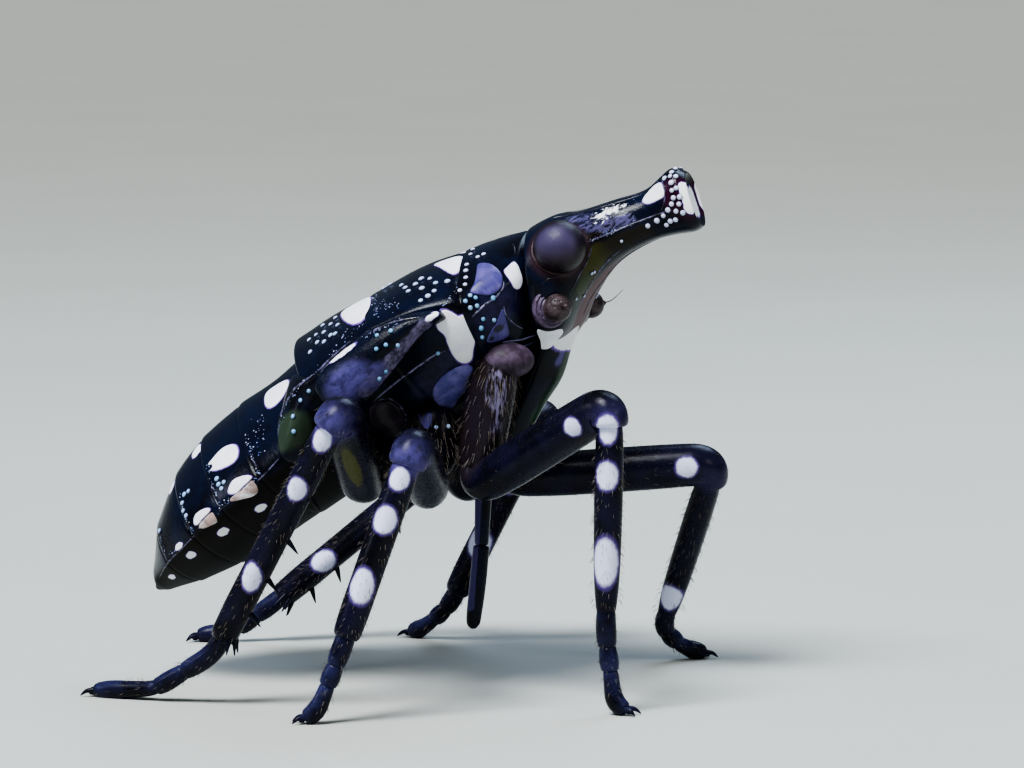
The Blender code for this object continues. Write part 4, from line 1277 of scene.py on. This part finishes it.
def make_lines(trees):
    """The fine raised lines of the head, pronotum, pads and sides."""
    rows = [(side, *row) for row in LINES for _, side in SIDES] + [(1.0, *row) for row in MIDDLE_LINES]
    pieces = []
    for side, where, tone, radius, marks in rows:
        piece = ridge(tree_for(trees, where, side), marks_on(side, marks), radius)
        for value in piece.data.color_attributes.new("tone", "FLOAT_COLOR", "POINT").data:
            value.color = (tone, 0.0, 0.0, 1.0)
        pieces.append(piece)
    paint = Paint("line_shell")
    bright = paint.tone()[0]
    cloud = paint.noise(paint.place(), 9.0, 4.0, 0.65)
    silver = paint.step(cloud + (bright - 0.5) * 0.5, 0.40, 0.66) * bright
    paint.start(paint.mix(silver, (0.006, 0.006, 0.014), (0.34, 0.32, 0.58)), cloud, 0.16, 0.36)
    finish(merged("raised_lines", pieces), paint.close(0.000008, 0.5, 0.4), "thorax")


# Legs: the coxa's base in the body's axes; then hip, knee, ankle, sole and toe in the frame's axes,
# before the step aside
LEGS = {
    "fore_right": ((1.06, -0.78, -0.72), (-0.36, -0.95, 2.72), (1.68, -2.20, 4.06),
                   (1.64, -2.30, 1.08), (1.76, -2.32, 0.13), (1.93, -2.36, 0.07)),
    "fore_left": ((1.06, 0.78, -0.72), (-0.26, 0.45, 2.70), (2.63, 0.80, 2.92),
                  (1.74, 1.94, 0.46), (2.02, 2.22, 0.17), (2.27, 2.40, 0.07)),
    "middle_right": ((-0.12, -0.72, -0.82), (-0.93, -1.05, 2.65), (-0.73, -3.15, 3.59),
                     (-1.62, -3.60, 0.89), (-1.90, -3.68, 0.15), (-2.06, -3.71, 0.07)),
    "middle_left": ((-0.12, 0.72, -0.82), (-0.87, 0.80, 2.47), (-0.04, 3.00, 3.30),
                    (-1.48, 3.30, 0.48), (-1.88, 3.43, 0.15), (-2.07, 3.50, 0.07)),
    "hind_right": ((-1.00, -0.80, -0.90), (-1.83, -0.95, 2.65), (-1.73, -3.00, 4.00),
                   (-3.52, -2.50, 0.68), (-4.37, -2.30, 0.16), (-5.24, -2.11, 0.08)),
    "hind_left": ((-1.00, 0.80, -0.90), (-1.70, 0.85, 2.53), (-1.46, 3.20, 2.59),
                  (-3.97, 2.75, 0.48), (-4.40, 2.68, 0.17), (-4.94, 2.60, 0.08)),
}
ROUNDINGS = (0.38, 0.32, 0.22, 0.14)    # at hip, knee, ankle and sole
LEG_STEP = 0.16
BEND_STEPS = 6
TOE_STEPS = 8
COXA_RADII = (0.24, 0.34, 0.34, 0.33, 0.24)
FEMUR_RADII = (0.22, 0.27, 0.305, 0.31, 0.305, 0.29, 0.25)
TIBIA_RADII = (0.17, 0.195, 0.20, 0.198, 0.196, 0.196, 0.198, 0.180)
FORE_TIBIA_RADII = (0.16, 0.185, 0.192, 0.19, 0.185, 0.18, 0.165, 0.125)
TARSUS_SHARES = (0.0, 0.40, 0.60, 1.0)
TARSUS_RADII = ((0.11, 0.135, 0.142, 0.142, 0.122), (0.112, 0.130, 0.136, 0.118),
                (0.100, 0.112, 0.116, 0.132, 0.138, 0.10))
TOE_SHEEN = Vector((0.0, 0.0, 0.06))
# White spots: part, share of its length, size across, size along
LEG_SPOTS = {
    "fore_right": (("femur", 0.74, 0.13, 0.13), ("tibia", 0.035, 0.15, 0.20), ("tibia", 0.275, 0.17, 0.19),
                   ("tibia", 0.72, 0.21, 0.33)),
    "fore_left": (("femur", 0.85, 0.15, 0.15), ("tibia", 0.86, 0.19, 0.22)),
    "middle": (("tibia", 0.09, 0.15, 0.16), ("tibia", 0.32, 0.17, 0.19), ("tibia", 0.69, 0.17, 0.25)),
    "hind": (("tibia", 0.065, 0.13, 0.18), ("tibia", 0.29, 0.13, 0.17), ("tibia", 0.70, 0.10, 0.23)),
}


def rounded_path(corners):
    """Points along a bent line whose inner corners are rounded."""
    points = [corners[0].copy()]
    marks = []
    for k, rounding in enumerate(ROUNDINGS, 1):
        start = corners[k] + (corners[k - 1] - corners[k]).normalized() * rounding
        end = corners[k] + (corners[k + 1] - corners[k]).normalized() * rounding
        add_straight(points, start)
        marks.append(len(points) - 1)
        for j in range(1, BEND_STEPS + 1):
            t = j / BEND_STEPS
            points.append(start * (1 - t) ** 2 + corners[k] * 2 * t * (1 - t) + end * t ** 2)
        marks.append(len(points) - 1)
    add_straight(points, corners[-1])
    return points, marks


def add_straight(points, end):
    start = points[-1].copy()
    pieces = max(1, round((end - start).length / LEG_STEP))
    for j in range(1, pieces + 1):
        points.append(start.lerp(end, j / pieces))


def along_path(path, share):
    """The point a share of the way along a path, by length."""
    lengths = [(b - a).length for a, b in zip(path, path[1:])]
    left = share * sum(lengths)
    for k, length in enumerate(lengths):
        if left <= length:
            return path[k].lerp(path[k + 1], left / length)
        left -= length
    return path[-1].copy()


def way_along(path, share, reach):
    """The way that a path runs at a share of its length."""
    return (along_path(path, min(1.0, share + reach)) - along_path(path, share - reach)).normalized()


def limb(name, path, radii, squareness=0.0, sides=16, levels=2):
    return skin(name, tube_rings(path, tapered(radii, len(path)), sides, squareness), levels)


def claw_pair(end, along):
    """Two hooked claws and the pad between them at the end of a foot."""
    flat = Vector((along.x, along.y, 0.0)).normalized()
    across = flat.cross(Vector((0.0, 0.0, 1.0)))
    pieces = []
    for _, side in SIDES:
        line = []
        for ahead, out, height in ((-0.05, 0.035, 0.085), (0.07, 0.075, 0.085), (0.16, 0.105, 0.018)):
            line.append(end + flat * ahead + across * side * out)
            line[-1].z = height
        pieces.append(limb("claw", curve_through(line, 5), (0.045, 0.038, 0.026, 0.006), sides=8, levels=1))
    pad_at = end + flat * 0.035
    pad_at.z = 0.055
    return pieces + [ball("claw", pad_at, (0.055, 0.05, 0.04), segments=12)]


def leg_finish(word, coxa, femur, tibia, tarsus):
    """Black shell with this leg's lilac-white spots, a painted sky reflection on its knee, and its tinted
    faces: painted highlights on the fore coxa and painted light under the hind femur.
    """
    kind, side = word.split("_")
    outward = Vector((0.0, dict(SIDES)[side], 0.0))
    whites = []
    for part, share, across, along in LEG_SPOTS[word if kind == "fore" else kind]:
        path, radius = (femur, 0.30) if part == "femur" else (tibia, 0.20)
        centre, run = along_path(path, share), way_along(path, share, 0.05)
        size = Vector([math.hypot(across * math.sqrt(max(0.0, 1 - c * c)), along * c) for c in run])
        size.y = max(size.y, 0.15)
        whites += [(centre + outward * radius, size), (centre - outward * radius, size)]
    paint = shell("leg_shell_" + word, 0.24, in_body=False)
    paint.lay(paint.step(paint.cloud, 0.3, 0.7) * 0.5, (0.012, 0.007, 0.022))
    # painted sky reflection in lilac on the knee
    paint.sky_sheen(0.25 if kind == "fore" else 0.85, (along_path(femur, 0.96), (0.31, 0.38, 0.28)))
    for start, end in ((2, len(tarsus) // 2), (len(tarsus) // 2, -2)):
        rod = (tarsus[start] + TOE_SHEEN, tarsus[end] + TOE_SHEEN, 0.13)
        sheen = paint.step(paint.rods(paint.shaken, rod), 1.35, 0.55)
        paint.lay(sheen * paint.step(paint.cloud, 0.25, 0.6) * 0.65, (0.026, 0.029, 0.098), 0.32)
    if kind == "hind":
        # painted light: an olive band on the underside of the hind femur, where light shows through from
        # below
        panel = along_path(femur, 0.62) + outward * 0.04 - Vector((-0.04, 0.0, 0.36))
        panel_far = paint.patches(paint.uneven, (panel, (0.10, 0.60, 0.52)))
        paint.tint((0.060, 0.060, 0.010), panel_far, 1.0, 0.30)
        paint.tint((0.018, 0.016, 0.008), paint.rods(paint.shaken, (tibia[2], tibia[-3], 0.16)), 0.6)
    if kind == "fore":
        # painted highlights: silver-lilac streaks along the top of the fore coxa
        glint_streaks = paint.step(paint.noise(paint.at, (34.0, 34.0, 5.0)), 0.46, 0.60)
        for shift, far_end in ((0.03, 0.36), (0.12, 0.46), (0.21, 0.80)):
            aside = Vector((shift, 0.0, 0.0)) + outward * 0.26
            start = coxa[2] + aside
            rod = (start, start.lerp(coxa[-4] + aside, far_end), 0.09)
            streak = paint.step(paint.rods(paint.shaken, rod), 1.3, 0.4)
            paint.lay(streak * glint_streaks * 0.9, (0.30, 0.27, 0.46), 0.22)
        paint.tint((0.035, 0.022, 0.018), paint.rods(paint.shaken, (coxa[2], coxa[-2], 0.38)), 0.4)
    far = paint.patches(paint.uneven, *whites)
    paint.lay(paint.step(far, 1.26, 1.0) * 0.65, (0.11, 0.07, 0.27), 0.4)
    paint.lay(paint.step(far, 1.06, 0.80), (0.70, 0.72, 0.93), 0.45, 1.0)
    return paint.close(0.000009, 0.5, 0.12)


# Fine spines of the hind shins: shares of the length, and a fan round the lower end
SPINE_PLACES = (0.30, 0.50, 0.68, 0.84)
SPINE_ROOT = 0.048
SPINE_LENGTH = 0.19
CROWN_COUNT = 6
CROWN_SPREAD = 165.0


def spine(root, tip, radius):
    line = curve_through([root, root.lerp(tip, 0.5), tip], 3)
    return limb("spine", line, (radius, radius * 0.85, radius * 0.5, 0.006), sides=8, levels=1)


def shin_spines(path):
    along = (path[-1] - path[0]).normalized()
    edge = along.cross(Vector((0.0, 1.0, 0.0))).normalized()
    across = along.cross(edge)
    pieces = []
    for share in SPINE_PLACES:
        root = path[0].lerp(path[-1], share) + edge * 0.14
        pieces.append(spine(root, root + edge * (0.05 + SPINE_LENGTH) + along * 0.11, SPINE_ROOT))
    for k in range(CROWN_COUNT):
        turn = math.radians(CROWN_SPREAD * (k / (CROWN_COUNT - 1) - 0.5))
        out = edge * math.cos(turn) + across * math.sin(turn)
        root = path[-1] - along * SPINE_LENGTH * 0.8 + out * 0.13
        pieces.append(spine(root, path[-1] + along * SPINE_LENGTH * 0.4 + out * 0.27, SPINE_ROOT * 0.9))
    return pieces


def make_leg(word, base, *joints):
    corners = [BODY @ Vector(base)] + [Vector(joint) + STEP_ASIDE for joint in joints]
    points, marks = rounded_path(corners)
    hip_start, _, _, knee_end, ankle_start = marks[:5]
    coxa, femur = points[:hip_start + 2], points[hip_start:knee_end + 1]
    tibia, tarsus = points[knee_end - 1:ankle_start + 1], points[ankle_start - 1:]
    leg = leg_finish(word, coxa, femur, tibia, tarsus)
    hip = limb("coxa", coxa, COXA_RADII)
    hip_shape = hip.data.copy()
    hip_shape.transform(BODY.inverted())
    thigh = limb("femur", femur, FEMUR_RADII, 0.015)
    shin = [limb("tibia", tibia, FORE_TIBIA_RADII if word.startswith("fore") else TIBIA_RADII, 0.03)]
    if word.startswith("hind"):
        shin += shin_spines(tibia)
    foot = []
    for start, end, radii in zip(TARSUS_SHARES, TARSUS_SHARES[1:], TARSUS_RADII):
        start = max(0.0, start - 0.02)
        length = [along_path(tarsus, start + (end - start) * k / TOE_STEPS) for k in range(TOE_STEPS + 1)]
        foot.append(limb("toe", length, radii, sides=12, levels=1))
    foot += claw_pair(tarsus[-1], tarsus[-1] - tarsus[-3])
    parts = (("coxa_skin_", "coxa_", [hip]), ("femur_skin_", "femur_", [thigh]),
             ("tibia_skin_", "tibia_", shin), ("foot_", "tarsus_", foot))
    for name, node, pieces in parts:
        finish(merged(name + word, pieces), leg, "leg", node + word, in_body=False)
    return (coxa, femur, tibia, tarsus), hip_shape


# Hairs on the coxa, femur, tibia and tarsus: radii of the part, number, shortest and longest,
# thickness, and how far they lean along the leg
HAIR_ROWS = (
    (COXA_RADII, 260, (0.08, 0.18), 0.0034, 1.3),
    (FEMUR_RADII, 150, (0.04, 0.08), 0.0028, 1.2),
    (TIBIA_RADII, 240, (0.04, 0.08), 0.0030, 1.0),
    ((0.13, 0.14, 0.12, 0.13, 0.10), 90, (0.04, 0.07), 0.0030, 1.0),
)
HAIR_SIDES = 3
HAIR_SEED = 21
TUFT_PATCH = 0.003


def add_hair(shape, layer, root, way, bend, length, thick, patch):
    """One tapered hair of three sides, bent a little, with its small patch of the map."""
    first = way.orthogonal().normalized()
    second = way.cross(first)
    rings = []
    for share, width in ((-0.15, 1.0), (0.35, 0.85), (0.75, 0.5)):
        middle = root + way * length * share + bend * length * max(0.0, share) ** 2
        rings.append([shape.verts.new(middle + (first * c + second * s) * thick * width)
                      for c, s in circle(HAIR_SIDES)])
    tip = shape.verts.new(root + way * length + bend * length)
    faces = [tuple(reversed(rings[0]))]
    for low, high in zip(rings, rings[1:]):
        faces += [(low[k - 1], low[k], high[k], high[k - 1]) for k in (1, 2, 0)]
    faces += [(rings[-1][k - 1], rings[-1][k], tip) for k in (1, 2, 0)]
    for number, corners in enumerate(faces):
        for k, loop in enumerate(shape.faces.new(corners).loops):
            loop[layer].uv = (patch[0] + TUFT_PATCH * (k % 2), patch[1] + TUFT_PATCH * (number % 4) / 4.0)


def make_hairs(legs):
    """Fine hairs on all legs, longer on the coxae."""
    draw = random.Random(HAIR_SEED)
    shape = bmesh.new()
    layer = shape.loops.layers.uv.new("OFBake")
    for number, paths in enumerate(legs):
        for part, (radii, count, lengths, thick, lean) in enumerate(HAIR_ROWS):
            path = paths[part]
            for _ in range(count):
                share, turn = draw.uniform(0.06, 0.97), draw.uniform(0.0, 2.0 * math.pi)
                ahead = way_along(path, share, 0.03)
                first = ahead.orthogonal().normalized()
                out = first * math.cos(turn) + ahead.cross(first) * math.sin(turn)
                root = along_path(path, share) + out * spread(radii, share) * 0.97
                way = (out + ahead * lean + Vector([draw.gauss(0.0, 0.15) for _ in range(3)])).normalized()
                length = draw.uniform(*lengths)
                if root.z + (way.z + ahead.z * 0.25) * length < 0.02 or root.z < 0.04:
                    continue
                patch = ((number + 0.05 + 0.9 * share) / 6.0, (part + 0.05 + 0.9 * turn / 6.2832) / 4.0)
                add_hair(shape, layer, root, way, ahead * 0.25, length, thick, patch)
    golden = clouded_finish("hair_golden", (12.0,), (0.35, 0.65), (0.055, 0.040, 0.020), (0.20, 0.17, 0.15),
                            (0.35, 0.5), (0.000002, 0.3, 0.5), in_body=False)
    finish(built("leg_hairs", shape), golden, "leg", in_body=False)


# Room: a pale floor, soft light and the camera
CAMERA_AZIMUTH = 10.0
CAMERA_ELEVATION = 6.5
LENS = 200.0
SENSOR = 36.0
PICTURE_WIDTH = 1024 / 74.8             # millimetres seen across the picture at the insect
LOOK_AT = Vector((0.0, 0.0, 4.03))
LIGHT_DISTANCE = 60.0
PANELS = (
    # name, azimuth, elevation, size mm, watts, colour
    ("sky_panel", -25.0, 62.0, 20.0, 0.034, (0.86, 0.91, 1.0)),
    ("back_panel", 160.0, 50.0, 30.0, 0.020, (0.62, 0.76, 1.0)),
    ("side_panel", -70.0, 22.0, 12.0, 0.0060, (0.80, 0.82, 1.0)),
    ("front_panel", 62.0, 28.0, 12.0, 0.0050, (1.0, 0.95, 0.92)),
)


def aim(name, data, azimuth, elevation, distance):
    """Puts a lamp or the camera round the insect and turns it there."""
    a, e = math.radians(azimuth), math.radians(elevation)
    way = Vector((math.sin(a) * math.cos(e), -math.cos(a) * math.cos(e), math.sin(e)))
    holder = bpy.data.objects.new(name, data)
    holder.location = (LOOK_AT + STEP_ASIDE + way * distance) * MM
    holder.rotation_euler = way.to_track_quat("Z", "Y").to_euler()
    bpy.context.scene.collection.objects.link(holder)
    return holder


def make_room():
    bpy.ops.mesh.primitive_plane_add(size=1.0)
    floor = bpy.context.object
    floor.name = "studio_floor"
    edit_mode()
    bpy.ops.mesh.subdivide(number_cuts=4)
    object_mode()
    floor.data.materials.append(clouded_finish(
        "floor_card", (0.15, 3.0, 0.5), (0.3, 0.7), (0.470, 0.490, 0.450), (0.480, 0.500, 0.460),
        (0.80, 0.90), (0.00001, 0.1, 0.2), in_body=False))
    world = bpy.data.worlds.new("studio_air")
    bpy.context.scene.world = world
    world.use_nodes = True
    air = world.node_tree.nodes["Background"]
    air.inputs["Color"].default_value = (0.62, 0.74, 0.80, 1.0)
    air.inputs["Strength"].default_value = 0.16
    sun = bpy.data.lights.new("soft_sun", "SUN")
    sun.angle = math.radians(24.0)
    sun.energy = 3.1
    aim("soft_sun", sun, -30.0, 58.0, LIGHT_DISTANCE)
    for name, azimuth, elevation, size, power, colour in PANELS:
        lamp = bpy.data.lights.new(name, "AREA")
        lamp.size = size * MM
        lamp.energy = power
        lamp.color = colour
        aim(name, lamp, azimuth, elevation, LIGHT_DISTANCE)
    eye = bpy.data.cameras.new("studio_camera")
    eye.lens = LENS
    eye.sensor_width = SENSOR
    eye.clip_start = 0.001
    eye.clip_end = 10.0
    bpy.context.scene.camera = aim("studio_camera", eye, CAMERA_AZIMUTH, CAMERA_ELEVATION,
                                   PICTURE_WIDTH * LENS / SENSOR)
    bpy.context.scene.view_settings.look = "AgX - Medium High Contrast"


make_room()
trees, thorax_shapes = make_trunk()
trees["abdomen"] = make_abdomen()
trees["head"], head_shape = make_head()
make_eyes()
make_antennae()
trees["face"] = make_mouth(head_shape)
trees["pads"] = make_pads()
legs, hips = zip(*[make_leg(word, *places) for word, places in LEGS.items()])
trees["hips"] = surface(*hips, *thorax_shapes)
add_plates(trees)
make_lines(trees)
make_granules(trees)
make_hairs(legs)
